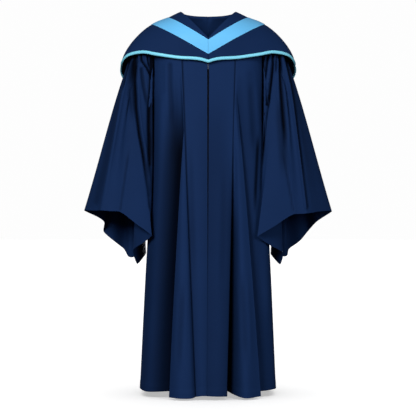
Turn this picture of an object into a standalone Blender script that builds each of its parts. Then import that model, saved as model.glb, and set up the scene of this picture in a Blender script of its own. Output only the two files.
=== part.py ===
"""Graduation gown with its hood cape, filled out as it is worn and with nobody in it.

Metres, +Z up, the front faces -Y, and the gown's own right side is at -X. The origin is the middle
of the neck opening at the height of the two neck points, where the wearer's shoulders hold the gown.
"""

import math
from collections import namedtuple

import bmesh
import bpy
from mathutils import Matrix, Vector

# ---- Driving sizes ------------------------------------------------------------------------------
WALL = 0.0015  # gown and hood cloth
BAND_WALL = 0.0012  # satin band laid on the hood
SEAM_GAP = 0.0004  # between two pieces at a seam
LAID_GAP = 0.0003  # between a panel and what is laid on it

NECK_HALF = 0.0945  # centre to a neck point
HEM_Z = -1.267
YOKE_SEAM_Z = -0.130

ARMHOLE_TOP_Z = -0.0467
ARMHOLE_LOW_Z = -0.380
ARMHOLE_HALF_DEPTH = 0.070
ARMHOLE_CORNER = 60  # degrees from the top of the armhole down to the yoke seam
SLEEVE_GAP = 0.0011  # between the armhole and the sleeve's first ring
SLEEVE_SHOULDER = Vector((0.250, 0.0, -0.120))  # what the sleeve's cloth hangs from
CLING_X = 0.172  # how far out a fold of the sleeve that clings to the body hangs
YOKE_UNDER = 0.004  # how far the yoke's form lies under the hood's

EDGING_HALF_HEIGHT = 0.0054
EDGING_HALF_THICK = 0.0032
EDGING_GAP = 0.0005  # between the hood's cloth and its edging

ZIP_TOP_Z = -0.186
ZIP_LOW_Z = -1.060
ZIP_TAPE_INNER = 0.0016  # centre to the tape's edge that holds the teeth
ZIP_TAPE_UNDER = 0.0110  # how far the tape reaches under the front band
ZIP_TAPE_WALL = 0.0008

SLIDER_Z = -0.1915
SLIDER_HALF_WIDTH = 0.0029
SLIDER_HALF_HEIGHT = 0.0045
SLIDER_PLATE = 0.0010
SLIDER_SPACE = 0.0011  # between a tape and a plate of the slider, for the teeth
SLIDER_WEB_HALF = 0.0009
BAIL_HALF_WIDTH = 0.0008
BAIL_BAR = 0.0008
BAIL_DEEP = 0.0020  # of the window that the pull's bar turns in
BAIL_HIGH = 0.0028
PULL_BAR = 0.0009
PULL_HALF_WIDTH = 0.0022
PULL_ARM = 0.0009
PULL_ARMS_LONG = 0.0036
PULL_LONG = 0.0135

# ---- How finely the cloth is faceted ------------------------------------------------------------
ARMHOLE_STEP = 20  # degrees
ROWS_BELOW_ARMHOLE = 7
PANEL_STEPS = 2  # pieces between two fold lines
SLEEVE_STEPS = 2
SLEEVE_DROPS = (0.0, 0.07, 0.15, 0.25, 0.4, 0.6, 0.8, 1.0)  # shares of the sleeve's length
YOKE_STEPS = 5
FRONT_TURNS = (90, 80, 70, 60, 50, 38, 25, 12, 0)  # from the shoulder to the centre front
HOOD_INNER_STEPS = 2
HOOD_OUTER_STEPS = 4
EDGING_SIDES = 8

# ---- Cloth form ---------------------------------------------------------------------------------
Section = namedtuple("Section", "z half_width front back square")
BODY = [
    Section(-0.130, 0.1880, 0.124, 0.118, 3.0),
    Section(-0.380, 0.1915, 0.134, 0.128, 2.8),
    Section(-0.620, 0.1985, 0.149, 0.150, 2.6),
    Section(-0.950, 0.2150, 0.168, 0.178, 2.4),
    Section(HEM_Z, 0.2290, 0.185, 0.200, 2.3),
]

# Height of the shoulder line over the distance from the middle.
Ridge = namedtuple("Ridge", "x z")
SHOULDER = [
    Ridge(0.000, 0.0200),
    Ridge(0.047, 0.0150),
    Ridge(NECK_HALF, 0.0000),
    Ridge(0.138, -0.0205),
    Ridge(0.1927, -0.0440),
    Ridge(0.218, -0.0630),
    Ridge(0.2545, -0.1070),
    Ridge(0.288, -0.1530),
    Ridge(0.2985, -0.1820),
]
SHOULDER_ROUND = 0.140  # drop over which the shoulder rounds off into the chest or the back

# A fold line of a body panel: where it lies at the yoke seam and at the hem (distance from the
# middle), how far it stands out of the plain form at the hem, the height at which it starts to
# open, how much lower than the hem it ends, and how sharp its edge is, from 0 to 1. A fold with a
# height in fan lies along the band seam down to there and fans out from it below.
Fold = namedtuple("Fold", "name x_top x_hem out opens drop sharp fan", defaults=(None,))

BAND_SEAM = "band seam"  # the fold line where the front band is sewn to the pleated panel
RIGHT_FRONT = [
    Fold("centre edge", 0.0036, 0.0012, 0.002, -0.30, 0.009, 1.0),
    Fold("band middle", 0.0470, 0.0210, 0.004, -0.30, 0.009, 0.0),
    Fold(BAND_SEAM, 0.0890, 0.0410, 0.000, -0.30, 0.012, 1.0),
    Fold("pleat start", 0.0900, 0.0500, 0.014, -0.42, 0.015, 0.0, -0.41),
    Fold("pleat face", 0.0909, 0.0800, 0.024, -0.40, 0.016, 0.0, -0.41),
    Fold("pleat edge", 0.0920, 0.1205, 0.016, -0.38, 0.014, 0.9, -0.41),
    Fold("pleat return", 0.0935, 0.1100, -0.034, -0.24, 0.004, 0.0, -0.41),
    Fold("valley", 0.0960, 0.1190, -0.062, -0.20, 0.000, 0.0, -0.41),
    Fold("hollow", 0.1040, 0.1560, -0.038, -0.18, 0.002, 0.0),
    Fold("side swell", 0.1300, 0.1990, 0.004, -0.20, 0.004, 0.0),
    Fold("side turn", 0.1620, 0.2240, 0.004, -0.30, 0.000, 0.0),
]
LEFT_FRONT = [
    Fold("centre edge", 0.0036, -0.0032, 0.006, -0.30, 0.009, 1.0),
    Fold("band middle", 0.0480, 0.0320, 0.010, -0.30, 0.010, 0.0),
    Fold(BAND_SEAM, 0.0910, 0.0610, 0.008, -0.30, 0.010, 1.0),
    Fold("recess side", 0.0920, 0.0640, -0.030, -0.46, 0.004, 0.0, -0.50),
    Fold("recess", 0.0930, 0.0720, -0.060, -0.46, 0.000, 0.0, -0.50),
    Fold("fold rise", 0.0942, 0.0850, -0.030, -0.40, 0.006, 0.0, -0.46),
    Fold("fold face", 0.0955, 0.1130, 0.022, -0.28, 0.016, 0.0, -0.32),
    Fold("fold ridge", 0.0975, 0.1620, 0.016, -0.24, 0.013, 0.9, -0.29),
    Fold("ridge foot", 0.1000, 0.1640, -0.026, -0.22, 0.002, 0.0, -0.29),
    Fold("side flat", 0.1360, 0.1900, -0.014, -0.22, 0.002, 0.0),
    Fold("side turn", 0.1640, 0.2180, 0.002, -0.30, 0.000, 0.0),
]
RIGHT_BACK = [
    Fold("centre back", 0.0002, 0.0002, -0.004, -0.14, 0.000, 0.0),
    Fold("first ridge", 0.0240, 0.0350, 0.014, -0.14, 0.002, 0.0),
    Fold("first trough", 0.0480, 0.0660, -0.018, -0.14, 0.000, 0.0),
    Fold("second ridge", 0.0720, 0.1000, 0.017, -0.14, 0.003, 0.3),
    Fold("second trough", 0.0960, 0.1280, -0.022, -0.14, 0.000, 0.0),
    Fold("third ridge", 0.1210, 0.1640, 0.012, -0.14, 0.002, 0.0),
    Fold("third trough", 0.1420, 0.1890, -0.014, -0.14, 0.000, 0.0),
    Fold("side turn", 0.1620, 0.2160, 0.004, -0.20, 0.000, 0.0),
]
LEFT_BACK = [
    Fold("centre back", 0.0002, 0.0002, -0.004, -0.14, 0.000, 0.0),
    Fold("first ridge", 0.0210, 0.0290, 0.012, -0.14, 0.002, 0.0),
    Fold("first trough", 0.0440, 0.0600, -0.016, -0.14, 0.000, 0.0),
    Fold("second ridge", 0.0710, 0.0940, 0.018, -0.14, 0.003, 0.3),
    Fold("second trough", 0.0980, 0.1290, -0.024, -0.14, 0.000, 0.0),
    Fold("third ridge", 0.1220, 0.1650, 0.014, -0.14, 0.002, 0.0),
    Fold("third trough", 0.1430, 0.1920, -0.012, -0.14, 0.000, 0.0),
    Fold("side turn", 0.1620, 0.2180, 0.003, -0.20, 0.000, 0.0),
]

# A fold line of a sleeve: where it leaves the armhole (degrees from the top, round by the front),
# how far its gather stands out, its end on the hem, how sharp it is, and how closely its middle
# clings to the body, from 0 to 1.
Pleat = namedtuple("Pleat", "name start puff x y z sharp cling")
RIGHT_SLEEVE = [
    Pleat("overarm", 0, 0.000, 0.4200, 0.000, -0.671, 0.4, 0.0),
    Pleat("outer front", 14, 0.004, 0.3860, -0.062, -0.671, 0.0, 0.0),
    Pleat("front ridge", 28, 0.010, 0.3480, -0.108, -0.671, 0.8, 0.0),
    Pleat("front hollow", 38, -0.010, 0.3220, -0.112, -0.673, 0.0, 0.0),
    Pleat("front crease", 47, 0.004, 0.2950, -0.118, -0.674, 0.4, 0.0),
    Pleat("front face", 56, 0.004, 0.2400, -0.130, -0.713, 0.0, 0.0),
    Pleat("front corner", 66, -0.006, 0.1860, -0.128, -0.754, 0.8, 0.0),
    Pleat("inner front", 74, -0.016, 0.1960, -0.110, -0.764, 0.4, 1.0),
    Pleat("tuck front", 82, -0.012, 0.2180, -0.085, -0.780, 0.0, 0.5),
    Pleat("tuck", 100, 0.008, 0.2520, -0.036, -0.806, 0.2, 0.2),
    Pleat("underarm point", 140, 0.000, 0.2400, 0.000, -0.852, 0.5, 0.0),
    Pleat("inner back", 180, 0.000, 0.2220, 0.045, -0.832, 0.0, 0.0),
    Pleat("back corner", 236, 0.000, 0.2150, 0.104, -0.815, 0.5, 0.0),
    Pleat("back trough", 266, -0.006, 0.2700, 0.085, -0.832, 0.0, 0.0),
    Pleat("back ridge", 288, 0.008, 0.2900, 0.112, -0.806, 0.4, 0.0),
    Pleat("back face", 304, -0.006, 0.3300, 0.088, -0.772, 0.0, 0.0),
    Pleat("outer ridge", 320, 0.008, 0.3600, 0.090, -0.745, 0.4, 0.0),
    Pleat("outer back", 340, 0.000, 0.3560, 0.044, -0.710, 0.0, 0.0),
]
LEFT_SLEEVE = [
    Pleat("overarm", 0, 0.000, 0.4190, 0.000, -0.674, 0.4, 0.0),
    Pleat("outer front", 14, 0.004, 0.3760, -0.058, -0.674, 0.0, 0.0),
    Pleat("front ridge", 28, 0.011, 0.3260, -0.112, -0.681, 0.8, 0.0),
    Pleat("front hollow", 38, -0.008, 0.3080, -0.114, -0.682, 0.0, 0.0),
    Pleat("front crease", 47, 0.004, 0.2840, -0.120, -0.683, 0.4, 0.0),
    Pleat("front face", 56, 0.006, 0.2200, -0.130, -0.722, 0.0, 0.0),
    Pleat("front corner", 66, -0.008, 0.1620, -0.128, -0.757, 0.9, 0.0),
    Pleat("inner front", 74, -0.016, 0.1780, -0.110, -0.769, 0.4, 1.0),
    Pleat("tuck front", 82, -0.012, 0.2080, -0.085, -0.788, 0.0, 0.5),
    Pleat("tuck", 100, 0.010, 0.2500, -0.040, -0.815, 0.2, 0.2),
    Pleat("underarm point", 140, 0.000, 0.2430, 0.000, -0.854, 0.5, 0.0),
    Pleat("inner back", 180, 0.000, 0.2240, 0.045, -0.834, 0.0, 0.0),
    Pleat("back corner", 236, 0.000, 0.2160, 0.104, -0.818, 0.5, 0.0),
    Pleat("back trough", 266, -0.006, 0.2690, 0.086, -0.828, 0.0, 0.0),
    Pleat("back ridge", 288, 0.008, 0.2780, 0.110, -0.806, 0.4, 0.0),
    Pleat("back face", 304, -0.004, 0.3160, 0.094, -0.776, 0.0, 0.0),
    Pleat("outer ridge", 320, 0.006, 0.3440, 0.086, -0.742, 0.3, 0.0),
    Pleat("outer back", 340, 0.000, 0.3700, 0.044, -0.710, 0.0, 0.0),
]

# A ring of the hood, from the neck out: where it crosses the shoulder line, its height at the
# centre front and the centre back.
Ring = namedtuple("Ring", "name side_x front_z back_z")
NECK_RING = Ring("neck edge", NECK_HALF, -0.1040, -0.0045)
BAND_TOP = Ring("band top", 0.1380, -0.1085, -0.0520)
BAND_LOW = Ring("band low", 0.1927, -0.1560, -0.0960)

# The free edge of the hood round one side, from the centre front (0) to the centre back (180).
EdgePoint = namedtuple("EdgePoint", "turn x z")
HOOD_EDGE = [
    EdgePoint(0, 0.0000, -0.1740),
    EdgePoint(30, 0.1000, -0.1630),
    EdgePoint(50, 0.1700, -0.1480),
    EdgePoint(65, 0.2200, -0.1385),
    EdgePoint(80, 0.2730, -0.1490),
    EdgePoint(96, 0.2975, -0.1850),
    EdgePoint(115, 0.2760, -0.2220),
    EdgePoint(145, 0.1700, -0.2520),
    EdgePoint(180, 0.0000, -0.2660),
]
HOOD_FRONT = 0.143
HOOD_BACK = 0.142
HOOD_HALF_WIDTH = 0.2985
HOOD_SQUARE = 2.4
HOOD_CORNERS = 0.5  # the lower, the squarer the hood's free edge is, seen from above


def mix(a, b, t):
    return a + (b - a) * t


def ease(t):
    t = max(0.0, min(1.0, t))
    return t * t * (3 - 2 * t)


def read(table, key, column, at):
    """A column of a table at a value of its key, on a smooth curve through the rows."""
    rows = sorted(table, key=lambda row: getattr(row, key))
    keys = [getattr(row, key) for row in rows]
    values = [getattr(row, column) for row in rows]
    if at <= keys[0]:
        return values[0]
    if at >= keys[-1]:
        return values[-1]
    i = max(k for k in range(len(keys) - 1) if keys[k] <= at)
    slopes = [(values[k + 1] - values[k]) / (keys[k + 1] - keys[k]) for k in range(len(keys) - 1)]
    start = slopes[i] if i == 0 else (slopes[i - 1] + slopes[i]) / 2
    end = slopes[i] if i == len(slopes) - 1 else (slopes[i] + slopes[i + 1]) / 2
    span = keys[i + 1] - keys[i]
    t = (at - keys[i]) / span
    return (
        values[i] * (2 * t**3 - 3 * t**2 + 1)
        + values[i + 1] * (3 * t**2 - 2 * t**3)
        + start * span * (t**3 - 2 * t**2 + t)
        + end * span * (t**3 - t**2)
    )


def rounded(drop):
    """Share of the full depth that the form has reached this far below the shoulder line."""
    share = max(0.0, min(1.0, drop / SHOULDER_ROUND))
    return math.sqrt(1 - (1 - share) ** 2)


def oval(x, half_width, square):
    """Share of the full depth at this distance from the middle, on a squared oval."""
    return max(0.0, 1 - min(1.0, abs(x) / half_width) ** square) ** (1 / square)


def body_point(x, z, back, out):
    """A point of the gown's form at a distance x from the middle, moved outwards by out."""
    half_width = read(BODY, "z", "half_width", z)
    depth = read(BODY, "z", "back" if back else "front", z)
    square = read(BODY, "z", "square", z)
    fall = rounded(read(SHOULDER, "x", "z", min(x, 0.19)) - 0.005 - z)
    y = depth * oval(x, half_width, square) * fall
    nx = max(0.0, min(1.0, x / half_width)) ** (square - 1) / half_width
    ny = (y / depth) ** (square - 1) / depth
    length = math.hypot(nx, ny)
    x, y = x + out * nx / length, y + out * ny / length
    return Vector((x, y if back else -y, z))


def through(points, sharps, steps):
    """Points on a curve through the given ones, with steps pieces between two. A sharp one is a corner."""
    spans = [max((b - a).length, 1e-6) for a, b in zip(points, points[1:])]
    ways = [(b - a) / span for a, b, span in zip(points, points[1:], spans)]
    made = [points[0]]
    for i, span in enumerate(spans):
        leave = arrive = ways[i]
        if i > 0:
            even = (ways[i - 1] * span + ways[i] * spans[i - 1]) / (span + spans[i - 1])
            leave = even.lerp(ways[i], sharps[i])
        if i < len(spans) - 1:
            even = (ways[i] * spans[i + 1] + ways[i + 1] * span) / (span + spans[i + 1])
            arrive = even.lerp(ways[i], sharps[i + 1])
        for k in range(1, steps + 1):
            t = k / steps
            made.append(
                points[i] * (2 * t**3 - 3 * t**2 + 1)
                + points[i + 1] * (3 * t**2 - 2 * t**3)
                + leave * span * (t**3 - 2 * t**2 + t)
                + arrive * span * (t**3 - t**2)
            )
    return made


def armhole(turn):
    """A point of the armhole, in degrees from its top, round by the front, on the +X side."""
    a = math.radians(turn)
    middle = (ARMHOLE_TOP_Z + ARMHOLE_LOW_Z) / 2
    half_height = (ARMHOLE_TOP_Z - ARMHOLE_LOW_Z) / 2
    x = 0.188 + 0.0035 * (1 - math.cos(a)) / 2 - 0.011 * math.sin(a) ** 2
    return Vector((x, -ARMHOLE_HALF_DEPTH * math.sin(a), middle + half_height * math.cos(a)))


def armhole_seam(turn, step):
    """The armhole as the straight stretches that its pieces share, with corners every step degrees."""
    low = math.floor(turn / step) * step
    return armhole(low).lerp(armhole(low + step), (turn - low) / step)


def levels(step, below):
    """Shares of the way down from the yoke seam to the hem at which the body has a section."""
    drops = [armhole(turn).z for turn in range(ARMHOLE_CORNER, 181, step)]
    drops += [mix(ARMHOLE_LOW_Z, HEM_Z, k / below) for k in range(1, below + 1)]
    return [(YOKE_SEAM_Z - z) / (YOKE_SEAM_Z - HEM_Z) for z in drops]


def fold_point(fold, seam, down, back):
    """Where a fold line is at this share of the way from the yoke seam to the hem."""
    z = mix(YOKE_SEAM_Z - SEAM_GAP, HEM_Z - fold.drop, down)
    opened = ease((fold.opens - z) / (fold.opens - HEM_Z)) ** 0.7 if z < fold.opens else 0.0
    x = mix(fold.x_top, fold.x_hem, down)
    if fold.fan:
        fanned = max(0.0, (fold.fan - z) / (fold.fan - HEM_Z)) ** 0.9
        x = mix(seam.x_top, seam.x_hem, down)
        x += mix(fold.x_top - seam.x_top, fold.x_hem - seam.x_hem, fanned)
    return body_point(x, z, back, fold.out * opened)


def side_point(down, back):
    """The armhole edge of a panel and, below it, its side seam."""
    z = mix(YOKE_SEAM_Z - SEAM_GAP, HEM_Z, down)
    if z > ARMHOLE_LOW_Z:
        middle = (ARMHOLE_TOP_Z + ARMHOLE_LOW_Z) / 2
        share = (z - middle) / (ARMHOLE_TOP_Z - middle)
        point = armhole(math.degrees(math.acos(max(-1.0, min(1.0, share)))))
        point.y = min(point.y, -SEAM_GAP / 2)
        return Vector((point.x, -point.y if back else point.y, z))
    x = read(BODY, "z", "half_width", z)
    return Vector((x, SEAM_GAP / 2 if back else -SEAM_GAP / 2, z))


def panel_rows(folds, back, steps):
    """A quarter of the body as rows of points from the yoke seam down, on the +X side."""
    seam = next((fold for fold in folds if fold.name == BAND_SEAM), None)
    rows = []
    for down in levels(ARMHOLE_STEP, ROWS_BELOW_ARMHOLE):
        points = [fold_point(fold, seam, down, back) for fold in folds] + [side_point(down, back)]
        rows.append(through(points, [fold.sharp for fold in folds] + [1.0], steps))
    return rows


def yoke_rows(back, turns, steps):
    """Half of the front or back yoke: rows from the neck edge to the armhole, shoulder seam first."""
    sign = 1 if back else -1
    depth = BODY[0].back if back else BODY[0].front
    rows = []
    for k in range(len(turns) + 1):
        outer = armhole_seam(ARMHOLE_CORNER * k / len(turns), ARMHOLE_STEP)
        if k == len(turns):
            inner = Vector((0, sign * depth, YOKE_SEAM_Z + SEAM_GAP))
            outer.z += SEAM_GAP
        else:
            inner = ring_point(NECK_RING, turns[k]) - hood_normal(turns[k]) * (WALL + SEAM_GAP)
        inner.x = max(inner.x, SEAM_GAP / 2)
        row = []
        for i in range(steps + 1):
            u = i / steps
            x = mix(inner.x, outer.x, u)
            y = abs(mix(inner.y, outer.y, u))
            top = read(SHOULDER, "x", "z", min(x, 0.19)) - YOKE_UNDER
            ends = [read(SHOULDER, "x", "z", min(p.x, 0.19)) - YOKE_UNDER - p.z for p in (inner, outer)]
            z = mix(inner.z, outer.z, u)
            if 0 < u < 1:
                z = top - max(0.0, mix(*ends, u))
                y = depth * oval(x, 0.2, 3.0) * rounded(top - z)
            row.append(Vector((x, sign * max(SEAM_GAP, y if k else 0), z)))
        rows.append(row)
    return rows


def closed_through(points, sharps, steps):
    """The same curve as through() makes, closed on itself."""
    count = len(points)
    turns = [(k - 2) % count for k in range(count + 5)]
    made = through([points[k] for k in turns], [sharps[k] for k in turns], steps)
    return made[2 * steps : (count + 2) * steps]


def sleeve_rows(pleats, steps):
    """A sleeve as rings of points from the armhole down to the hem, on the +X side."""
    rows = []
    for down in SLEEVE_DROPS:
        points = []
        for pleat in pleats:
            seam = armhole_seam(pleat.start, ARMHOLE_STEP)
            seam.x += SLEEVE_GAP
            a = math.radians(pleat.start)
            lower = ease(1.15 * math.sin(a / 2) ** 2)
            spread = (mix(0.084, 0.012, lower) + pleat.puff) * (1 - 0.6 * pleat.cling)
            push = Vector((spread, -math.sin(a) * (0.036 + pleat.puff), -mix(0.036, 0.040, lower)))
            hem = Vector((pleat.x, pleat.y, pleat.z))
            hang = hem.lerp(SLEEVE_SHOULDER + Vector((0, 0.62 * pleat.y, 0)), mix(0.48, 0.42, lower))
            hang.x = mix(hang.x, CLING_X, pleat.cling)
            hang.y += 0.6 * pleat.puff * (-1 if pleat.y < 0 else 1)
            up = 1 - down
            points.append(
                seam * up**3
                + (seam + push) * (3 * up * up * down)
                + hang * (3 * up * down * down)
                + hem * down**3
            )
        rows.append(closed_through(points, [pleat.sharp * down for pleat in pleats], steps))
    return rows


def hood_point(x, z, back):
    """A point of the hood's form: it stands over the shoulders and falls to the front or the back."""
    depth = HOOD_BACK if back else HOOD_FRONT
    y = depth * oval(x, HOOD_HALF_WIDTH + 0.001, HOOD_SQUARE)
    y *= rounded(read(SHOULDER, "x", "z", x) - z)
    return Vector((x, y if back else -y, z))


def ring_point(ring, turn):
    """A ring of the hood at a turn from the centre front (0) past the shoulder (90) to the back (180)."""
    x = ring.side_x * math.sin(math.radians(turn))
    share = x / ring.side_x
    side_z = read(SHOULDER, "x", "z", ring.side_x)
    if turn <= 90:
        return hood_point(x, mix(ring.front_z, side_z, share), False)
    return hood_point(x, mix(ring.back_z, side_z, share**2.5), True)


def edge_point(turn):
    """The hood's free edge at a turn from the centre front."""
    x = read(HOOD_EDGE, "turn", "x", turn)
    z = read(HOOD_EDGE, "turn", "z", turn)
    y = math.cos(math.radians(turn))
    depth = HOOD_BACK if y < 0 else HOOD_FRONT
    return Vector((x, -depth * math.copysign(abs(y) ** HOOD_CORNERS, y), z))


def between(start, end, t, back):
    """A point of the hood's form on the way from one ring to the next, by its drop from the shoulder line."""
    drops = [read(SHOULDER, "x", "z", point.x) - point.z for point in (start, end)]
    x = mix(start.x, end.x, t)
    return hood_point(x, read(SHOULDER, "x", "z", x) - mix(*drops, t), back)


def hood_row(turn):
    """The hood at one turn, from the neck edge out to the free edge."""
    rings = [ring_point(ring, turn) for ring in (NECK_RING, BAND_TOP, BAND_LOW)]
    points = []
    for low, high in zip(rings, rings[1:]):
        for k in range(HOOD_INNER_STEPS):
            points.append(between(low, high, k / HOOD_INNER_STEPS, turn > 90))
    start, end = rings[-1], edge_point(turn)
    out, fall = end - start, Vector((0, 0, end.z - start.z))
    out.z = 0
    leave = start + out * 0.38 + fall * 0.175
    arrive = end - out * 0.06 - fall * 0.30
    for k in range(HOOD_OUTER_STEPS + 1):
        t = k / HOOD_OUTER_STEPS
        u = 1 - t
        points.append(start * u**3 + leave * (3 * u * u * t) + arrive * (3 * u * t * t) + end * t**3)
    return points


def hood_normal(turn):
    """The way out of the hood's cloth at its neck edge."""
    across = hood_row(turn)[1] - hood_row(turn)[0]
    along = ring_point(NECK_RING, min(turn + 2, 180)) - ring_point(NECK_RING, max(turn - 2, 0))
    return along.cross(across).normalized() * -1


# ---- Solids -------------------------------------------------------------------------------------
def normals_of(rows, closed, sign):
    """The way out of a sheet at each of its points, longer at a corner so that the wall stays even.

    The sign is 1 where the columns run clockwise round the outer face as the rows run down, or -1.
    """
    height, width = len(rows), len(rows[0])
    found = []
    for i in range(height):
        down = [rows[min(i + 1, height - 1)][k] - rows[max(i - 1, 0)][k] for k in range(width)]
        line = []
        for k in range(width):
            sides = []
            if closed or k > 0:
                sides.append((rows[i][k] - rows[i][k - 1]).cross(down[k]).normalized())
            if closed or k < width - 1:
                sides.append((rows[i][(k + 1) % width] - rows[i][k]).cross(down[k]).normalized())
            mean = sum(sides, Vector()).normalized()
            line.append(sign * mean / max(0.72, mean.dot(sides[0])))
        found.append(line)
    return found


def moved(rows, normals, distance):
    return [[p + n * distance for p, n in zip(*pair)] for pair in zip(rows, normals)]


def sheet(name, rows, normals, wall, material, closed=False, mirror=False):
    """A closed wall whose outer face runs through the rows and whose inner face lies a wall below."""
    height, width = len(rows), len(rows[0])
    mesh = bmesh.new()
    faces = [
        [[mesh.verts.new(point) for point in row] for row in side]
        for side in (rows, moved(rows, normals, -wall))
    ]
    outer, inner = faces
    for i in range(height - 1):
        for k in range(width if closed else width - 1):
            n = (k + 1) % width
            mesh.faces.new((outer[i][k], outer[i + 1][k], outer[i + 1][n], outer[i][n]))
            mesh.faces.new((inner[i][k], inner[i][n], inner[i + 1][n], inner[i + 1][k]))
    rims = [[(outer[i][k], inner[i][k]) for k in range(width)] for i in (0, height - 1)]
    if closed:
        rims = [rim + rim[:1] for rim in rims]
    else:
        rims += [[(outer[i][k], inner[i][k]) for i in range(height)] for k in (0, width - 1)]
    for rim in rims:
        for (a, b), (c, d) in zip(rim, rim[1:]):
            mesh.faces.new((a, b, d, c))
    return solid(name, mesh, material, mirror)


def tube(name, middles, ways, half_across, half_out, material, mirror):
    """A round edging along middles, with flat ends. Each way is (across the edge, out of the cloth)."""
    mesh = bmesh.new()
    rings = []
    for middle, (across, out) in zip(middles, ways):
        ring = []
        for k in range(EDGING_SIDES):
            a = math.tau * k / EDGING_SIDES
            ring.append(
                mesh.verts.new(middle + across * half_across * math.cos(a) + out * half_out * math.sin(a))
            )
        rings.append(ring)
    for low, high in zip(rings, rings[1:]):
        for k in range(EDGING_SIDES):
            n = (k + 1) % EDGING_SIDES
            mesh.faces.new((low[k], low[n], high[n], high[k]))
    mesh.faces.new(rings[0])
    mesh.faces.new(rings[-1])
    return solid(name, mesh, material, mirror)


def solid(name, mesh, material, mirror):
    """The named object of a closed mesh, with its faces turned out."""
    if mirror:
        bmesh.ops.scale(mesh, vec=(-1, 1, 1), verts=mesh.verts)
    bmesh.ops.triangulate(mesh, faces=mesh.faces)
    bmesh.ops.recalc_face_normals(mesh, faces=mesh.faces)
    data = bpy.data.meshes.new(name)
    mesh.to_mesh(data)
    mesh.free()
    data.materials.append(material)
    data.shade_smooth()
    data.set_sharp_from_angle(angle=math.radians(50))
    made = bpy.data.objects.new(name, data)
    bpy.context.scene.collection.objects.link(made)
    return made


def extruded(name, outline, axis, low, high, material):
    """The outline, in the plane across an axis, drawn out along it."""
    mesh = bmesh.new()
    others = [k for k in range(3) if k != axis]
    corners = []
    for a, b in outline:
        point = Vector()
        point[others[0]], point[others[1]], point[axis] = a, b, low
        corners.append(mesh.verts.new(point))
    face = mesh.faces.new(corners)
    made = bmesh.ops.extrude_face_region(mesh, geom=[face])["geom"]
    push = Vector()
    push[axis] = high - low
    bmesh.ops.translate(mesh, vec=push, verts=[v for v in made if isinstance(v, bmesh.types.BMVert)])
    return solid(name, mesh, material, False)


def unite(target, helper):
    """Adds a helper to a piece by a Boolean union and leaves the helper out of the model."""
    modifier = target.modifiers.new("union", "BOOLEAN")
    modifier.operation = "UNION"
    modifier.object = helper
    helper.hide_render = True
    helper.display_type = "WIRE"


def paint(name, colour, roughness, metallic=0.0):
    material = bpy.data.materials.new(name)
    material.use_nodes = True
    shader = material.node_tree.nodes["Principled BSDF"]
    shader.inputs["Base Color"].default_value = (*colour, 1)
    shader.inputs["Roughness"].default_value = roughness
    shader.inputs["Metallic"].default_value = metallic
    material.diffuse_color = (*colour, 1)
    return material


# ---- The pieces ---------------------------------------------------------------------------------
def build_body(side, fronts, backs, mirror, cloth):
    """The front band, the pleated front and the back of one side."""
    for back, folds in ((False, fronts), (True, backs)):
        rows = panel_rows(folds, back, PANEL_STEPS)
        normals = normals_of(rows, False, 1 if back else -1)
        for line in normals:
            line[-1] = Vector((1, 0, 0))
            line[0] = Vector((0, 1 if back else -1, 0))
        if back:
            sheet(f"back_{side}", rows, normals, WALL, cloth, mirror=mirror)
            continue
        seam = [fold.name for fold in folds].index(BAND_SEAM) * PANEL_STEPS
        pieces = (("band_front", 0, seam + 1), ("front", seam, len(rows[0])))
        for name, start, end in pieces:
            cut = [row[start:end] for row in rows]
            at = 0 if start else -1
            for row in cut:
                towards = (row[1] - row[0]) if start else (row[-2] - row[-1])
                row[at] = row[at] + towards.normalized() * SEAM_GAP * 0.7
            lines = [line[start:end] for line in normals]
            sheet(f"{name}_{side}", cut, lines, WALL, cloth, mirror=mirror)


def build_yoke(side, mirror, cloth):
    for back in (False, True):
        turns = [180 - t for t in FRONT_TURNS] if back else list(FRONT_TURNS)
        rows = yoke_rows(back, turns, YOKE_STEPS)
        normals = normals_of(rows, False, 1 if back else -1)
        for normal in normals[0]:
            normal.y = 0
        for line in normals[-2:]:
            line[0].x = 0
        name = "yoke_back" if back else "yoke_front"
        sheet(f"{name}_{side}", rows, normals, WALL, cloth, mirror=mirror)


def build_hood(side, mirror, cloth, satin):
    """Half of the hood, the light band laid on it and the round edging under its free edge."""
    turns = sorted(list(FRONT_TURNS) + [180 - t for t in FRONT_TURNS[1:]])
    columns = [hood_row(turn) for turn in turns]
    rows = [list(row) for row in zip(*columns)]
    for row in rows:
        row[0].x = row[-1].x = SEAM_GAP / 2
    normals = normals_of(rows, False, -1)
    for line in normals:
        line[0].x = line[-1].x = 0
    sheet(f"hood_{side}", rows, normals, WALL, cloth, mirror=mirror)

    first, last = HOOD_INNER_STEPS, 2 * HOOD_INNER_STEPS + 1
    laid = moved(rows[first:last], normals[first:last], LAID_GAP + BAND_WALL)
    sheet(f"hood_band_{side}", laid, normals[first:last], BAND_WALL, satin, mirror=mirror)

    middles, ways = [], []
    for k in range(len(turns)):
        fall = (rows[-1][k] - rows[-2][k]).normalized()
        across = fall - fall.project(Vector((1, 0, 0))) if k in (0, len(turns) - 1) else fall
        across.normalize()
        middles.append(rows[-1][k] + across * (EDGING_HALF_HEIGHT + EDGING_GAP) - normals[-1][k] * WALL / 2)
        ways.append((across, normals[-1][k].normalized()))
    tube(f"hood_edging_{side}", middles, ways, EDGING_HALF_HEIGHT, EDGING_HALF_THICK, satin, mirror)


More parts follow.
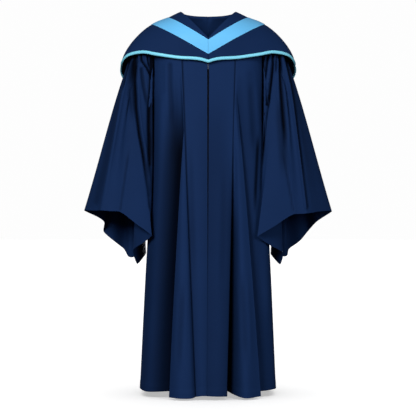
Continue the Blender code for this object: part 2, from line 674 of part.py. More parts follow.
def build_zip_tape(side, fronts, mirror, material):
    """The tape under the centre edge of a front band."""
    rows = panel_rows(fronts, False, PANEL_STEPS)
    edges = [(row[0], (row[1] - row[0]).normalized()) for row in rows]
    heights = [ZIP_TOP_Z] + [p.z for p, _ in edges if ZIP_LOW_Z < p.z < ZIP_TOP_Z] + [ZIP_LOW_Z]
    tape = []
    for z in heights:
        i = max(k for k in range(len(edges) - 1) if edges[k][0].z >= z)
        (above, way), (below, _) = edges[i], edges[i + 1]
        point = above.lerp(below, (above.z - z) / (above.z - below.z))
        point.y += WALL + SEAM_GAP + LAID_GAP / 3
        inner = point - way * ((point.x - ZIP_TAPE_INNER) / way.x)
        tape.append([inner, point + way * ZIP_TAPE_UNDER])
    normals = [[Vector((0, -1, 0))] * 2] * len(tape)
    sheet(f"zip_tape_{side}", tape, normals, ZIP_TAPE_WALL, material, mirror=mirror)
    return tape[0][0]


def build_slider(tape_top, metal):
    """The slider on the tapes and its pull, which turns on the bar in the slider's bail."""
    slope = (BODY[1].front - BODY[0].front) / (BODY[0].z - BODY[1].z)
    lean = math.atan(slope)
    face = -SLIDER_SPACE - SLIDER_PLATE
    inside = ZIP_TAPE_WALL + SLIDER_SPACE
    halves = [
        (SLIDER_HALF_WIDTH, face),
        (SLIDER_HALF_WIDTH, face + SLIDER_PLATE),
        (SLIDER_WEB_HALF, face + SLIDER_PLATE),
        (SLIDER_WEB_HALF, inside),
        (SLIDER_HALF_WIDTH, inside),
        (SLIDER_HALF_WIDTH, inside + SLIDER_PLATE),
    ]
    outline = halves + [(-x, y) for x, y in reversed(halves)]
    slider = extruded("zip_slider", outline, 2, -SLIDER_HALF_HEIGHT, SLIDER_HALF_HEIGHT, metal)

    out, high = face - BAIL_DEEP, BAIL_HIGH / 2
    bail = [
        (face + SLIDER_PLATE / 2, high + BAIL_BAR),
        (out - BAIL_BAR, high + BAIL_BAR),
        (out - BAIL_BAR, -high - BAIL_BAR),
        (face + SLIDER_PLATE / 2, -high - BAIL_BAR),
        (face + SLIDER_PLATE / 2, -high),
        (out, -high),
        (out, high),
        (face + SLIDER_PLATE / 2, high),
    ]
    bail = extruded("bail", bail, 0, -BAIL_HALF_WIDTH, BAIL_HALF_WIDTH, metal)
    unite(slider, bail)
    place = Vector((0, tape_top.y - slope * (ZIP_TOP_Z - SLIDER_Z), SLIDER_Z))
    for piece in (slider, bail):
        piece.location = place
        piece.rotation_euler.x = -lean

    wide, arm, tip = PULL_HALF_WIDTH, PULL_HALF_WIDTH - PULL_ARM, 0.6 * PULL_HALF_WIDTH
    half = PULL_BAR / 2
    plate = [(wide, half), (wide, -PULL_LONG + 0.002), (tip, -PULL_LONG)]
    plate += [(-x, z) for x, z in reversed(plate)]
    window = [(-arm, -half), (-arm, -PULL_ARMS_LONG), (arm, -PULL_ARMS_LONG), (arm, -half)]
    pull = extruded("zip_pull", plate, 1, -half, half, metal)
    hole = extruded("pull window", window, 1, -2 * half, 2 * half, metal)
    modifier = pull.modifiers.new("window", "BOOLEAN")
    modifier.operation = "DIFFERENCE"
    modifier.object = hole
    hole.hide_render = True
    hole.display_type = "WIRE"
    axis = place + Matrix.Rotation(-lean, 3, "X") @ Vector((0, face - BAIL_DEEP / 2, 0))
    for piece in (pull, hole):
        piece.location = axis
        piece.rotation_euler.x = -lean


def main():
    for old in list(bpy.data.objects):
        bpy.data.objects.remove(old)
    cloth = paint("navy cloth", (0.010, 0.024, 0.080), 0.75)
    satin = paint("light blue satin", (0.20, 0.58, 0.93), 0.35)
    tape = paint("black zip tape", (0.004, 0.005, 0.010), 0.8)
    metal = paint("dark zip metal", (0.02, 0.03, 0.06), 0.35, 0.9)
    for side, fronts, backs, sleeve, mirror in (
        ("right", RIGHT_FRONT, RIGHT_BACK, RIGHT_SLEEVE, True),
        ("left", LEFT_FRONT, LEFT_BACK, LEFT_SLEEVE, False),
    ):
        build_body(side, fronts, backs, mirror, cloth)
        build_yoke(side, mirror, cloth)
        rows = sleeve_rows(sleeve, SLEEVE_STEPS)
        normals = normals_of(rows, True, 1)
        sheet(f"sleeve_{side}", rows, normals, WALL, cloth, closed=True, mirror=mirror)
        build_hood(side, mirror, cloth, satin)
        tape_top = build_zip_tape(side, fronts, mirror, tape)
    build_slider(tape_top, metal)


main()
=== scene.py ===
"""Graduation gown with its hood cape: fine cloth, satin, zip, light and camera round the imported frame.

Metres, +Z up. The front faces -Y and the gown's own right side is at -X. The gown hangs from the
middle of its neck opening, which is the origin.
"""

import math
from collections import namedtuple

import bmesh
import bpy
import numpy as np
from bpy.props import FloatProperty, FloatVectorProperty, IntProperty, PointerProperty
from bpy.types import Operator, Panel, PropertyGroup
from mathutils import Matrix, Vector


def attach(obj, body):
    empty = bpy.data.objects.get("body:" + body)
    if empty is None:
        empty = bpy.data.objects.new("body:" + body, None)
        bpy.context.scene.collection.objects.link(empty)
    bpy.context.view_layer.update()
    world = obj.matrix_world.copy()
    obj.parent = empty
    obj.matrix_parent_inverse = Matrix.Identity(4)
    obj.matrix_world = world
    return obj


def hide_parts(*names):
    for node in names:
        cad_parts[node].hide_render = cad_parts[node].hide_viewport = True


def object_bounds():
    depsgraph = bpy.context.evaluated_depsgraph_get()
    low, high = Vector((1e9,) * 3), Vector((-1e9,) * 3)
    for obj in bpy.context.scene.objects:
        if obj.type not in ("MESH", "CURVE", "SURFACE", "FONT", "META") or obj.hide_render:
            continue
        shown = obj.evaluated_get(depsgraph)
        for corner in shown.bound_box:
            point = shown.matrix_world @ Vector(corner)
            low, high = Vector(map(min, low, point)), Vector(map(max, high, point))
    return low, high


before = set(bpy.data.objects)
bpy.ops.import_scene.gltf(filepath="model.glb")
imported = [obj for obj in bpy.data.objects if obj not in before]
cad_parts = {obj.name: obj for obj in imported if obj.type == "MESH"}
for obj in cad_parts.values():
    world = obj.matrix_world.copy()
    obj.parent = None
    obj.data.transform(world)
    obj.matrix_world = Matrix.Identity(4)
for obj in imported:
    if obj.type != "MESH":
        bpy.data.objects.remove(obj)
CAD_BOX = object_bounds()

bl_info = {
    "name": "Graduation Gown",
    "version": (1, 0, 0),
    "blender": (4, 5, 0),
    "location": "View3D > Sidebar > Gown",
    "description": "Builds the cloth, satin and zip of a graduation gown with its hood cape",
    "category": "Add Mesh",
}

BODY = "gown"  # the frame's body that holds all the cloth

# ---- Sizes of the cut ---------------------------------------------------------------------------
SEAM_GAP = 0.0004
RIM_ANGLE = 55  # degrees, past which an edge is shaded sharp
WALL = 0.0011  # gown and hood cloth
SATIN_WALL = 0.0009
NECK_HALF = 0.0945
HEM_Z = -1.267
YOKE_SEAM_Z = -0.130
YOKE_UNDER = 0.004
YOKE_NECK_GAP = 0.0006
YOKE_GRID = (40, 30)
YOKE_NECK_SHARE = 0.9  # how much of its inner edge runs along the neck

ARMHOLE_TOP_Z = -0.0467
ARMHOLE_LOW_Z = -0.380
ARMHOLE_MIDDLE_Z = (ARMHOLE_TOP_Z + ARMHOLE_LOW_Z) / 2
ARMHOLE_HALF_HEIGHT = (ARMHOLE_TOP_Z - ARMHOLE_LOW_Z) / 2
ARMHOLE_HALF_DEPTH = 0.070
ARMHOLE_CORNER = 60  # degrees
SLEEVE_GAP = 0.0011
ARMHOLE_X = 0.188
ARMHOLE_LEAN = 0.0035  # how much farther out its lowest point is
ARMHOLE_CURVE = 0.011  # how much nearer in its front and back are
SLEEVE_SHOULDER = np.array((0.250, 0.0, -0.120))
SLEEVE_ROW_BIAS = 1.15  # above 1, the rows are closer near the armhole
GATHER_TOP = 0.084  # how far out the sleeve springs from the armhole at its top
GATHER_LOW = 0.012
GATHER_OUT = 0.036  # the same to the front and back
GATHER_DROP = (0.036, 0.040)  # how far down, at the top and at the underarm
HANG_DEPTH = 0.62  # how far front or back its cloth hangs above the elbow, as a share of the hem's
HANG_SHARE = (0.48, 0.42)  # how high, from the hem to the shoulder, at the top and at the underarm
CLING_X = 0.172
CLING_SHARE = 0.6  # how much of its spring a clinging line loses
BODY_UNDER = 0.005  # how far the body's form lies under the shoulder line
BODY_SIDE_X = 0.19  # the shoulder line is read no farther out than this for the body
PAINTED_SHADE_RAMP = 0.28  # height in which the shade painted into a fold gets to its full strength

HOOD_FRONT = 0.143
HOOD_BACK = 0.142
HOOD_HALF_WIDTH = 0.2985
HOOD_SQUARE = 2.4
HOOD_CORNERS = 0.5
HOOD_LEAVE = (0.38, 0.175)  # handles of the curve from the band to the free edge, level and down
HOOD_ARRIVE = (0.06, 0.30)
SHOULDER_ROUND = 0.140
EDGING_HALF_HEIGHT = 0.0054
EDGING_HALF_THICK = 0.0032
EDGING_GAP = 0.0005
EDGING_BACK = 0.00075
EDGING_SIDES = 24
CENTRE_SEAM_WIDTH = 0.0012
CENTRE_SEAM_DEPTH = 0.0010
# painted shade along the hood's centre seam
CENTRE_SEAM_PAINTED_SHADE = 0.7
BAND_GAP = 0.0003
BAND_PUFF = 0.0008
MITRE_WIDTH = 0.0010
MITRE_DEPTH = 0.0006
# painted shade along the band's mitre
MITRE_PAINTED_SHADE = 0.45
HOOD_PAINTED_SHADE = 0.13  # share of painted shade laid all over the hood, and the next one over the sleeves
SLEEVE_PAINTED_SHADE = 0.10

ZIP_TOP_Z = -0.186
ZIP_LOW_Z = -1.060
ZIP_TAPE_INNER = 0.0002
ZIP_TAPE_UNDER = 0.0110
ZIP_TAPE_BEHIND = 0.0020
ZIP_TAPE_WALL = 0.0008
ZIP_TAPE_GRID = (180, 6)
TAPE_RIB_PITCH = 0.0008
TEETH_TOP_Z = -0.1975  # just below the slider
TEETH_ABOVE_END = 0.004
TOOTH_WIDTH = 0.0036
TOOTH_DEPTH = 0.0018
TOOTH_BEVEL = 0.0002
TOOTH_REACH = 0.0012  # how far a tooth's middle is from the middle of the zip
TOOTH_BEHIND = 0.0004

Section = namedtuple("Section", "z half_width front back square")
BODY_FORM = [
    Section(-0.130, 0.1880, 0.124, 0.118, 3.0),
    Section(-0.380, 0.1915, 0.134, 0.128, 2.8),
    Section(-0.620, 0.1985, 0.149, 0.150, 2.6),
    Section(-0.950, 0.2150, 0.168, 0.178, 2.4),
    Section(HEM_Z, 0.2290, 0.185, 0.200, 2.3),
]

Ridge = namedtuple("Ridge", "x z")
SHOULDER = [
    Ridge(0.000, 0.0200),
    Ridge(0.047, 0.0150),
    Ridge(NECK_HALF, 0.0000),
    Ridge(0.138, -0.0205),
    Ridge(0.1927, -0.0440),
    Ridge(0.218, -0.0630),
    Ridge(0.2545, -0.1070),
    Ridge(0.288, -0.1530),
    Ridge(0.2985, -0.1820),
]

# A fold line of a body panel: its distance from the middle at the yoke seam and at the hem, how far
# it stands out of the plain form at the hem, the height where it starts to open, how much lower
# than the hem it ends, how sharp its edge is, from 0 to 1, and how much shade is painted along it,
# with the height where that painted shade starts. A fold with a height in fan lies along the band
# seam down to there and fans out from it below.
Fold = namedtuple(
    "Fold", "name x_top x_hem out opens drop sharp fan dark dark_z", defaults=(None, 0.0, -0.20)
)
BAND_SEAM = "band seam"
BAND_SEAM_WIDTH = 0.0030
BAND_SEAM_LINE = 0.0016
BAND_SEAM_DEPTH = 0.0014
# painted shade along the band seam's line
BAND_SEAM_PAINTED_SHADE = 0.8
RIGHT_FRONT = [
    Fold("centre edge", 0.0036, 0.0012, 0.002, -0.30, 0.009, 1.0, None, 0.20),
    Fold("band middle", 0.0470, 0.0210, 0.004, -0.30, 0.009, 0.0, None, 0.06),
    Fold(BAND_SEAM, 0.0890, 0.0410, 0.000, -0.30, 0.012, 1.0, None, 0.22, -0.50),
    Fold("pleat start", 0.0900, 0.0500, 0.014, -0.42, 0.015, 0.0, -0.41, 0.08),
    Fold("pleat face", 0.0909, 0.0800, 0.024, -0.40, 0.016, 0.0, -0.41),
    Fold("pleat edge", 0.0920, 0.1205, 0.016, -0.38, 0.014, 0.9, -0.41, 0.30),
    Fold("pleat return", 0.0935, 0.1100, -0.034, -0.24, 0.004, 0.0, -0.41, 1.00),
    Fold("valley", 0.0960, 0.1190, -0.062, -0.20, 0.000, 0.0, -0.41, 1.00, -0.22),
    Fold("hollow", 0.1040, 0.1560, -0.038, -0.18, 0.002, 0.0, None, 0.84),
    Fold("side swell", 0.1300, 0.1990, 0.004, -0.20, 0.004, 0.0, None, 0.34, -0.30),
    Fold("side turn", 0.1620, 0.2240, 0.004, -0.30, 0.000, 0.0, None, 0.22),
]
LEFT_FRONT = [
    Fold("centre edge", 0.0036, -0.0032, 0.006, -0.30, 0.009, 1.0, None, 0.30),
    Fold("band middle", 0.0480, 0.0320, 0.010, -0.30, 0.010, 0.0, None, 0.24),
    Fold(BAND_SEAM, 0.0910, 0.0610, 0.008, -0.30, 0.010, 1.0, None, 0.45, -0.45),
    Fold("recess side", 0.0920, 0.0640, -0.030, -0.46, 0.004, 0.0, -0.50, 1.00, -0.40),
    Fold("recess", 0.0930, 0.0720, -0.060, -0.46, 0.000, 0.0, -0.50, 1.00, -0.40),
    Fold("fold rise", 0.0942, 0.0850, -0.030, -0.40, 0.006, 0.0, -0.46, 0.68, -0.50),
    Fold("fold face", 0.0955, 0.1130, 0.022, -0.28, 0.016, 0.0, -0.32, 0.04),
    Fold("fold ridge", 0.0975, 0.1620, 0.016, -0.24, 0.013, 0.9, -0.29),
    Fold("ridge foot", 0.1000, 0.1640, -0.026, -0.22, 0.002, 0.0, -0.29, 0.20),
    Fold("side flat", 0.1360, 0.1900, -0.014, -0.22, 0.002, 0.0, None, 0.16),
    Fold("side turn", 0.1640, 0.2180, 0.002, -0.30, 0.000, 0.0, None, 0.05),
]
RIGHT_BACK = [
    Fold("centre back", 0.0, 0.0, -0.004, -0.14, 0.000, 0.0),
    Fold("first ridge", 0.0240, 0.0350, 0.014, -0.14, 0.002, 0.0),
    Fold("first trough", 0.0480, 0.0660, -0.018, -0.14, 0.000, 0.0, None, 0.60),
    Fold("second ridge", 0.0720, 0.1000, 0.017, -0.14, 0.003, 0.3),
    Fold("second trough", 0.0960, 0.1280, -0.022, -0.14, 0.000, 0.0, None, 0.60),
    Fold("third ridge", 0.1210, 0.1640, 0.012, -0.14, 0.002, 0.0),
    Fold("third trough", 0.1420, 0.1890, -0.014, -0.14, 0.000, 0.0, None, 0.60),
    Fold("side turn", 0.1620, 0.2160, 0.004, -0.20, 0.000, 0.0),
]
LEFT_BACK = [
    Fold("centre back", 0.0, 0.0, -0.004, -0.14, 0.000, 0.0),
    Fold("first ridge", 0.0210, 0.0290, 0.012, -0.14, 0.002, 0.0),
    Fold("first trough", 0.0440, 0.0600, -0.016, -0.14, 0.000, 0.0, None, 0.60),
    Fold("second ridge", 0.0710, 0.0940, 0.018, -0.14, 0.003, 0.3),
    Fold("second trough", 0.0980, 0.1290, -0.024, -0.14, 0.000, 0.0, None, 0.60),
    Fold("third ridge", 0.1220, 0.1650, 0.014, -0.14, 0.002, 0.0),
    Fold("third trough", 0.1430, 0.1920, -0.012, -0.14, 0.000, 0.0, None, 0.60),
    Fold("side turn", 0.1620, 0.2180, 0.003, -0.20, 0.000, 0.0),
]

# A fold line of a sleeve: where it leaves the armhole (degrees from the top, round by the front),
# how far its gather stands out, its end on the hem, how sharp it is, and how closely its middle
# clings to the body, from 0 to 1.
Pleat = namedtuple("Pleat", "name start puff x y z sharp cling")
RIGHT_SLEEVE = [
    Pleat("overarm", 0, 0.000, 0.4200, 0.000, -0.671, 0.4, 0.0),
    Pleat("outer front", 14, 0.004, 0.3860, -0.062, -0.671, 0.0, 0.0),
    Pleat("front ridge", 28, 0.010, 0.3480, -0.108, -0.671, 0.8, 0.0),
    Pleat("front hollow", 38, -0.010, 0.3220, -0.112, -0.673, 0.0, 0.0),
    Pleat("front crease", 47, 0.004, 0.2950, -0.118, -0.674, 0.4, 0.0),
    Pleat("front face", 56, 0.004, 0.2400, -0.130, -0.713, 0.0, 0.0),
    Pleat("front corner", 66, -0.006, 0.1860, -0.128, -0.754, 0.8, 0.0),
    Pleat("inner front", 74, -0.016, 0.1960, -0.110, -0.764, 0.4, 1.0),
    Pleat("tuck front", 82, -0.012, 0.2180, -0.085, -0.780, 0.0, 0.5),
    Pleat("tuck", 100, 0.008, 0.2520, -0.036, -0.806, 0.2, 0.2),
    Pleat("underarm point", 140, 0.000, 0.2400, 0.000, -0.852, 0.5, 0.0),
    Pleat("inner back", 180, 0.000, 0.2220, 0.045, -0.832, 0.0, 0.0),
    Pleat("back corner", 236, 0.000, 0.2150, 0.104, -0.815, 0.5, 0.0),
    Pleat("back trough", 266, -0.006, 0.2700, 0.085, -0.832, 0.0, 0.0),
    Pleat("back ridge", 288, 0.008, 0.2900, 0.112, -0.806, 0.4, 0.0),
    Pleat("back face", 304, -0.006, 0.3300, 0.088, -0.772, 0.0, 0.0),
    Pleat("outer ridge", 320, 0.008, 0.3600, 0.090, -0.745, 0.4, 0.0),
    Pleat("outer back", 340, 0.000, 0.3560, 0.044, -0.710, 0.0, 0.0),
]
LEFT_SLEEVE = [
    Pleat("overarm", 0, 0.000, 0.4190, 0.000, -0.674, 0.4, 0.0),
    Pleat("outer front", 14, 0.004, 0.3760, -0.058, -0.674, 0.0, 0.0),
    Pleat("front ridge", 28, 0.011, 0.3260, -0.112, -0.681, 0.8, 0.0),
    Pleat("front hollow", 38, -0.008, 0.3080, -0.114, -0.682, 0.0, 0.0),
    Pleat("front crease", 47, 0.004, 0.2840, -0.120, -0.683, 0.4, 0.0),
    Pleat("front face", 56, 0.006, 0.2200, -0.130, -0.722, 0.0, 0.0),
    Pleat("front corner", 66, -0.008, 0.1620, -0.128, -0.757, 0.9, 0.0),
    Pleat("inner front", 74, -0.016, 0.1780, -0.110, -0.769, 0.4, 1.0),
    Pleat("tuck front", 82, -0.012, 0.2080, -0.085, -0.788, 0.0, 0.5),
    Pleat("tuck", 100, 0.010, 0.2500, -0.040, -0.815, 0.2, 0.2),
    Pleat("underarm point", 140, 0.000, 0.2430, 0.000, -0.854, 0.5, 0.0),
    Pleat("inner back", 180, 0.000, 0.2240, 0.045, -0.834, 0.0, 0.0),
    Pleat("back corner", 236, 0.000, 0.2160, 0.104, -0.818, 0.5, 0.0),
    Pleat("back trough", 266, -0.006, 0.2690, 0.086, -0.828, 0.0, 0.0),
    Pleat("back ridge", 288, 0.008, 0.2780, 0.110, -0.806, 0.4, 0.0),
    Pleat("back face", 304, -0.004, 0.3160, 0.094, -0.776, 0.0, 0.0),
    Pleat("outer ridge", 320, 0.006, 0.3440, 0.086, -0.742, 0.3, 0.0),
    Pleat("outer back", 340, 0.000, 0.3700, 0.044, -0.710, 0.0, 0.0),
]

Ring = namedtuple("Ring", "name side_x front_z back_z")
NECK_RING = Ring("neck edge", NECK_HALF, -0.1040, -0.0045)
BAND_TOP = Ring("band top", 0.1380, -0.1085, -0.0520)
BAND_LOW = Ring("band low", 0.1927, -0.1560, -0.0960)

EdgePoint = namedtuple("EdgePoint", "turn x z")
HOOD_EDGE = [
    EdgePoint(0, 0.0000, -0.1740),
    EdgePoint(8, 0.0267, -0.1665),
    EdgePoint(30, 0.1000, -0.1600),
    EdgePoint(50, 0.1700, -0.1480),
    EdgePoint(65, 0.2200, -0.1385),
    EdgePoint(80, 0.2730, -0.1490),
    EdgePoint(96, 0.2975, -0.1850),
    EdgePoint(115, 0.2760, -0.2220),
    EdgePoint(145, 0.1700, -0.2520),
    EdgePoint(180, 0.0000, -0.2660),
]

# A crease, given in millimetres: the face it is on, the points of its middle seen from that
# face as (x, z), its half width, how deep (below 0) or high it stands, and how high its lips stand.
# Then come shares: how much shade is painted into it, how strongly it starts and ends, and how
# many times as wide it is at its head. A crease with no depth and no lips is only a stroke of painted shade.
Crease = namedtuple(
    "Crease", "face line width height lip dark head foot top_wide", defaults=(1.0, 0.0, 1.0)
)
FRONT, REAR = -1, 1
RIGHT_FRONT_CREASES = [
    Crease(FRONT, ((191, -130), (191, -220), (190, -340)), 8.5, 0, 0, 1, 1, 1),
    Crease(FRONT, ((128, -190), (127, -260), (122, -330), (121, -420)), 8, -3, 1.2, 0.35),
    Crease(FRONT, ((150, -300), (158, -520), (170, -800)), 15, 4, 0, 0),
    Crease(FRONT, ((60, -420), (54, -660), (46, -940)), 9, -1.2, 0.6, 0.18, 0),
    Crease(FRONT, ((83, -900), (92, -1080), (98, -1220)), 10, -2.6, 1, 0.22, 0),
]
LEFT_FRONT_CREASES = [
    Crease(FRONT, ((189, -130), (188, -220), (188, -340)), 9.5, 0, 0, 1, 1, 1),
    Crease(FRONT, ((168, -400), (162, -500), (157, -600), (154, -700)), 6, 0, 0, 0.85, 0),
    Crease(FRONT, ((87, -260), (93, -310), (105, -410), (114, -500)), 6, -2.2, 0, 0.25, 0),
    Crease(FRONT, ((140, -220), (146, -340), (156, -500)), 11, -3, 1.4, 0.28, 0.3),
    Crease(FRONT, ((182, -620), (192, -840), (200, -1100)), 14, 4, 0, 0),
    Crease(FRONT, ((52, -500), (49, -720), (42, -1000)), 9, -1.2, 0.6, 0.15, 0),
    Crease(FRONT, ((110, -860), (119, -1040), (124, -1200)), 10, -2.6, 1, 0.2, 0),
]
RIGHT_BACK_CREASES = [
    Crease(REAR, ((60, -260), (68, -440), (74, -660)), 8, -2.6, 1.2, 0.3, 0),
    Crease(REAR, ((120, -240), (128, -400), (142, -620)), 10, -3, 1.4, 0.3, 0),
    Crease(REAR, ((30, -600), (36, -840), (44, -1100)), 11, 3, 0, 0, 0),
]
LEFT_BACK_CREASES = [
    Crease(REAR, ((52, -280), (58, -500), (70, -760)), 9, -2.8, 1.2, 0.3, 0),
    Crease(REAR, ((112, -240), (124, -440), (136, -600)), 9, -2.8, 1.4, 0.3, 0),
    Crease(REAR, ((150, -660), (160, -880), (168, -1080)), 12, 3, 0, 0, 0),
]
RIGHT_SLEEVE_CREASES = [
    Crease(
        FRONT,
        (
            (246, -140), (248, -190), (249, -240), (243, -290), (240, -330), (234, -370), (227, -420),
            (217, -470), (209, -520), (198, -600), (193, -660),
        ),
        5.6, -9, 3, 1, 1, 0.2, 1.9,
    ),
    Crease(FRONT, ((262, -150), (261, -240), (256, -300), (248, -390)), 13, -2, 0, 0.45),
    Crease(
        FRONT,
        (
            (190, -160), (191, -240), (194, -290), (196, -340), (197, -400), (196, -460), (196, -540),
            (193, -620),
        ),
        7.8, -3, 0, 1, 1, 0.3,
    ),
    Crease(
        FRONT, ((282, -180), (292, -240), (303, -300), (322, -400), (340, -500), (372, -640)),
        14, 0, 0, 0.3, 1, 1,
    ),
    Crease(FRONT, ((178, -150), (177, -300), (178, -440), (180, -600)), 12, 0, 0, 1, 1, 0.6),
    Crease(
        FRONT, ((225, -140), (223, -170), (205, -195), (192, -220), (187, -250), (189, -290)),
        3.6, -8, 3, 0.95, 1, 1,
    ),
    Crease(
        FRONT, ((189, -270), (194, -310), (198, -340), (196, -380), (191, -440), (190, -520)),
        4, -6, 0, 0.97, 1, 1,
    ),
    Crease(FRONT, ((203, -150), (201, -170), (196, -200)), 2.8, -6, 2, 0.9),
    Crease(FRONT, ((184, -140), (181, -180), (180, -220)), 3, -5, 0, 0.9, 1, 1),
    Crease(FRONT, ((222, -200), (214, -260), (206, -300), (199, -340)), 5.5, -4.5, 1.5, 0.6),
    Crease(FRONT, ((262, -150), (268, -190), (277, -225), (286, -280)), 3, -5, 1.5, 0.8),
    Crease(
        FRONT, ((266, -170), (274, -220), (285, -280), (300, -370), (318, -470), (355, -670)),
        6, 4.5, 0, 0, 0.5, 1,
    ),
    Crease(FRONT, ((262, -460), (276, -560), (292, -670)), 4, -2, 1.2, 0.35, 0, 1),
    Crease(REAR, ((262, -170), (270, -260), (268, -380), (262, -540)), 6.5, -8, 3, 0.8),
    Crease(REAR, ((238, -190), (236, -280), (230, -420)), 5, -7, 3, 0.8),
    Crease(REAR, ((218, -200), (212, -300), (206, -440)), 5, -6, 2, 0.8),
    Crease(REAR, ((292, -300), (304, -440), (322, -620)), 8, -5, 2, 0.45, 0),
]
LEFT_SLEEVE_CREASES = [
    Crease(
        FRONT,
        (
            (235, -140), (240, -170), (242, -210), (243, -260), (247, -320), (250, -360), (255, -420),
            (258, -500),
        ),
        7.2, -8.5, 3, 1, 1, 0, 0.7,
    ),
    Crease(FRONT, ((238, -280), (240, -380), (248, -480), (254, -580)), 15, -1, 0, 0.42, 0),
    Crease(
        FRONT,
        (
            (181, -160), (183, -240), (187, -280), (190, -310), (189, -350), (186, -400), (182, -460),
            (177, -520), (166, -600),
        ),
        7, -3, 0, 1, 1, 0.5,
    ),
    Crease(FRONT, ((172, -300), (168, -440), (158, -600), (154, -680)), 8, 0, 0, 1, 0, 0.6),
    Crease(
        FRONT,
        (
            (217, -140), (214, -190), (210, -230), (205, -270), (200, -310), (193, -340), (187, -380),
            (181, -430), (176, -470), (170, -600), (165, -660),
        ),
        5, -9, 3, 1, 1, 0.3, 0.8,
    ),
    Crease(FRONT, ((199, -150), (193, -200), (187, -240), (182, -270)), 4, -7, 2, 0.92, 1, 0.6),
    Crease(FRONT, ((182, -260), (186, -300), (189, -340)), 5, -5, 0, 0.95, 1, 1),
    Crease(FRONT, ((178, -140), (175, -180), (176, -220), (179, -270)), 3.2, -5, 0, 0.92, 1, 1),
    Crease(FRONT, ((228, -150), (227, -190), (224, -220)), 3, -4, 1.5, 0.6),
    Crease(
        FRONT, ((260, -150), (270, -200), (280, -250), (290, -320), (299, -400), (309, -480), (330, -660)),
        6, -5, 0, 0.85, 1, 0.6,
    ),
    Crease(
        FRONT, ((254, -160), (264, -210), (277, -280), (289, -360), (299, -440), (322, -660)),
        5.5, 4.5, 0, 0, 0.5, 1,
    ),
    Crease(FRONT, ((246, -460), (262, -560), (282, -670)), 4, -2, 1.2, 0.35, 0, 1),
    Crease(REAR, ((258, -170), (264, -270), (262, -400), (256, -560)), 6.5, -8, 3, 0.8),
    Crease(REAR, ((234, -190), (232, -300), (226, -430)), 5, -7, 3, 0.8),
    Crease(REAR, ((214, -200), (209, -300), (204, -420)), 5, -6, 2, 0.8),
    Crease(REAR, ((286, -280), (298, -420), (314, -600)), 8, -5, 2, 0.45, 0),
]


# ---- Cloth form ---------------------------------------------------------------------------------
def mix(a, b, t):
    return a + (b - a) * t


def ease(t):
    t = np.clip(t, 0.0, 1.0)
    return t * t * (3 - 2 * t)


def smooth(a, b, leave, arrive, span, t):
    """The way from a to b over a span, which leaves and arrives at the given slopes."""
    return (
        a * (2 * t**3 - 3 * t**2 + 1)
        + b * (3 * t**2 - 2 * t**3)
        + leave * span * (t**3 - 2 * t**2 + t)
        + arrive * span * (t**3 - t**2)
    )


def bent(start, leave, arrive, end, t):
    """The way from start to end, drawn out by two handles."""
    u = 1 - t
    return start * u**3 + leave * (3 * u * u * t) + arrive * (3 * u * t**2) + end * t**3


def read(table, key, column, at):
    """A column of a table at values of its key, on a smooth curve through the rows."""
    rows = sorted(table, key=lambda row: getattr(row, key))
    keys = np.array([getattr(row, key) for row in rows])
    values = np.array([getattr(row, column) for row in rows])
    at = np.clip(at, keys[0], keys[-1])
    slopes = np.diff(values) / np.diff(keys)
    ways = np.concatenate([slopes[:1], (slopes[:-1] + slopes[1:]) / 2, slopes[-1:]])
    i = np.clip(np.searchsorted(keys, at, side="right") - 1, 0, len(keys) - 2)
    span = keys[i + 1] - keys[i]
    return smooth(values[i], values[i + 1], ways[i], ways[i + 1], span, (at - keys[i]) / span)


def shoulder(x):
    """Height of the shoulder line at a distance from the middle."""
    return read(SHOULDER, "x", "z", x)


def rounded(drop):
    """Share of the full depth that the form has reached this far below the shoulder line."""
    share = np.clip(drop / SHOULDER_ROUND, 0.0, 1.0)
    return np.sqrt(1 - (1 - share) ** 2)


def oval(x, half_width, square):
    """Share of the full depth at this distance from the middle, on a squared oval."""
    return np.maximum(0.0, 1 - np.minimum(1.0, np.abs(x) / half_width) ** square) ** (1 / square)


def body_points(x, z, back, out):
    """Points of the gown's form at a distance x from the middle, moved outwards by out."""
    half_width = read(BODY_FORM, "z", "half_width", z)
    depth = read(BODY_FORM, "z", "back" if back else "front", z)
    square = read(BODY_FORM, "z", "square", z)
    fall = rounded(shoulder(np.minimum(x, BODY_SIDE_X)) - BODY_UNDER - z)
    y = depth * oval(x, half_width, square) * fall
    nx = np.clip(x / half_width, 0.0, 1.0) ** (square - 1) / half_width
    ny = (y / depth) ** (square - 1) / depth
    length = np.hypot(nx, ny)
    x, y = x + out * nx / length, y + out * ny / length
    return np.stack([x, y if back else -y, z + 0 * x], axis=-1)


def through(points, sharps, steps):
    """Curves through points (rows, points, n), with steps[i] pieces after point i. Sharp ones are corners."""
    spans = np.linalg.norm(np.diff(points[..., :3], axis=1), axis=2, keepdims=True)
    spans = np.maximum(spans, 1e-6)
    ways = np.diff(points, axis=1) / spans
    made = [points[:, :1]]
    count = len(sharps)
    for i in range(count - 1):
        leave = arrive = ways[:, i]
        if i > 0:
            near, far = spans[:, i - 1], spans[:, i]
            even = (ways[:, i - 1] * far + ways[:, i] * near) / (near + far)
            leave = mix(even, ways[:, i], sharps[i])
        if i < count - 2:
            near, far = spans[:, i], spans[:, i + 1]
            even = (ways[:, i] * far + ways[:, i + 1] * near) / (near + far)
            arrive = mix(even, ways[:, i], sharps[i + 1])
        t = (np.arange(1, steps[i] + 1) / steps[i])[None, :, None]
        start, end = points[:, i : i + 1], points[:, i + 1 : i + 2]
        made.append(smooth(start, end, leave[:, None], arrive[:, None], spans[:, i : i + 1], t))
    return np.concatenate(made, axis=1)


def armhole(turn):
    """Points of the armhole, in degrees from its top, round by the front, on the +X side."""
    a = np.radians(turn)
    x = ARMHOLE_X + ARMHOLE_LEAN * (1 - np.cos(a)) / 2 - ARMHOLE_CURVE * np.sin(a) ** 2
    z = ARMHOLE_MIDDLE_Z + ARMHOLE_HALF_HEIGHT * np.cos(a)
    return np.stack([x, -ARMHOLE_HALF_DEPTH * np.sin(a), z], axis=-1)


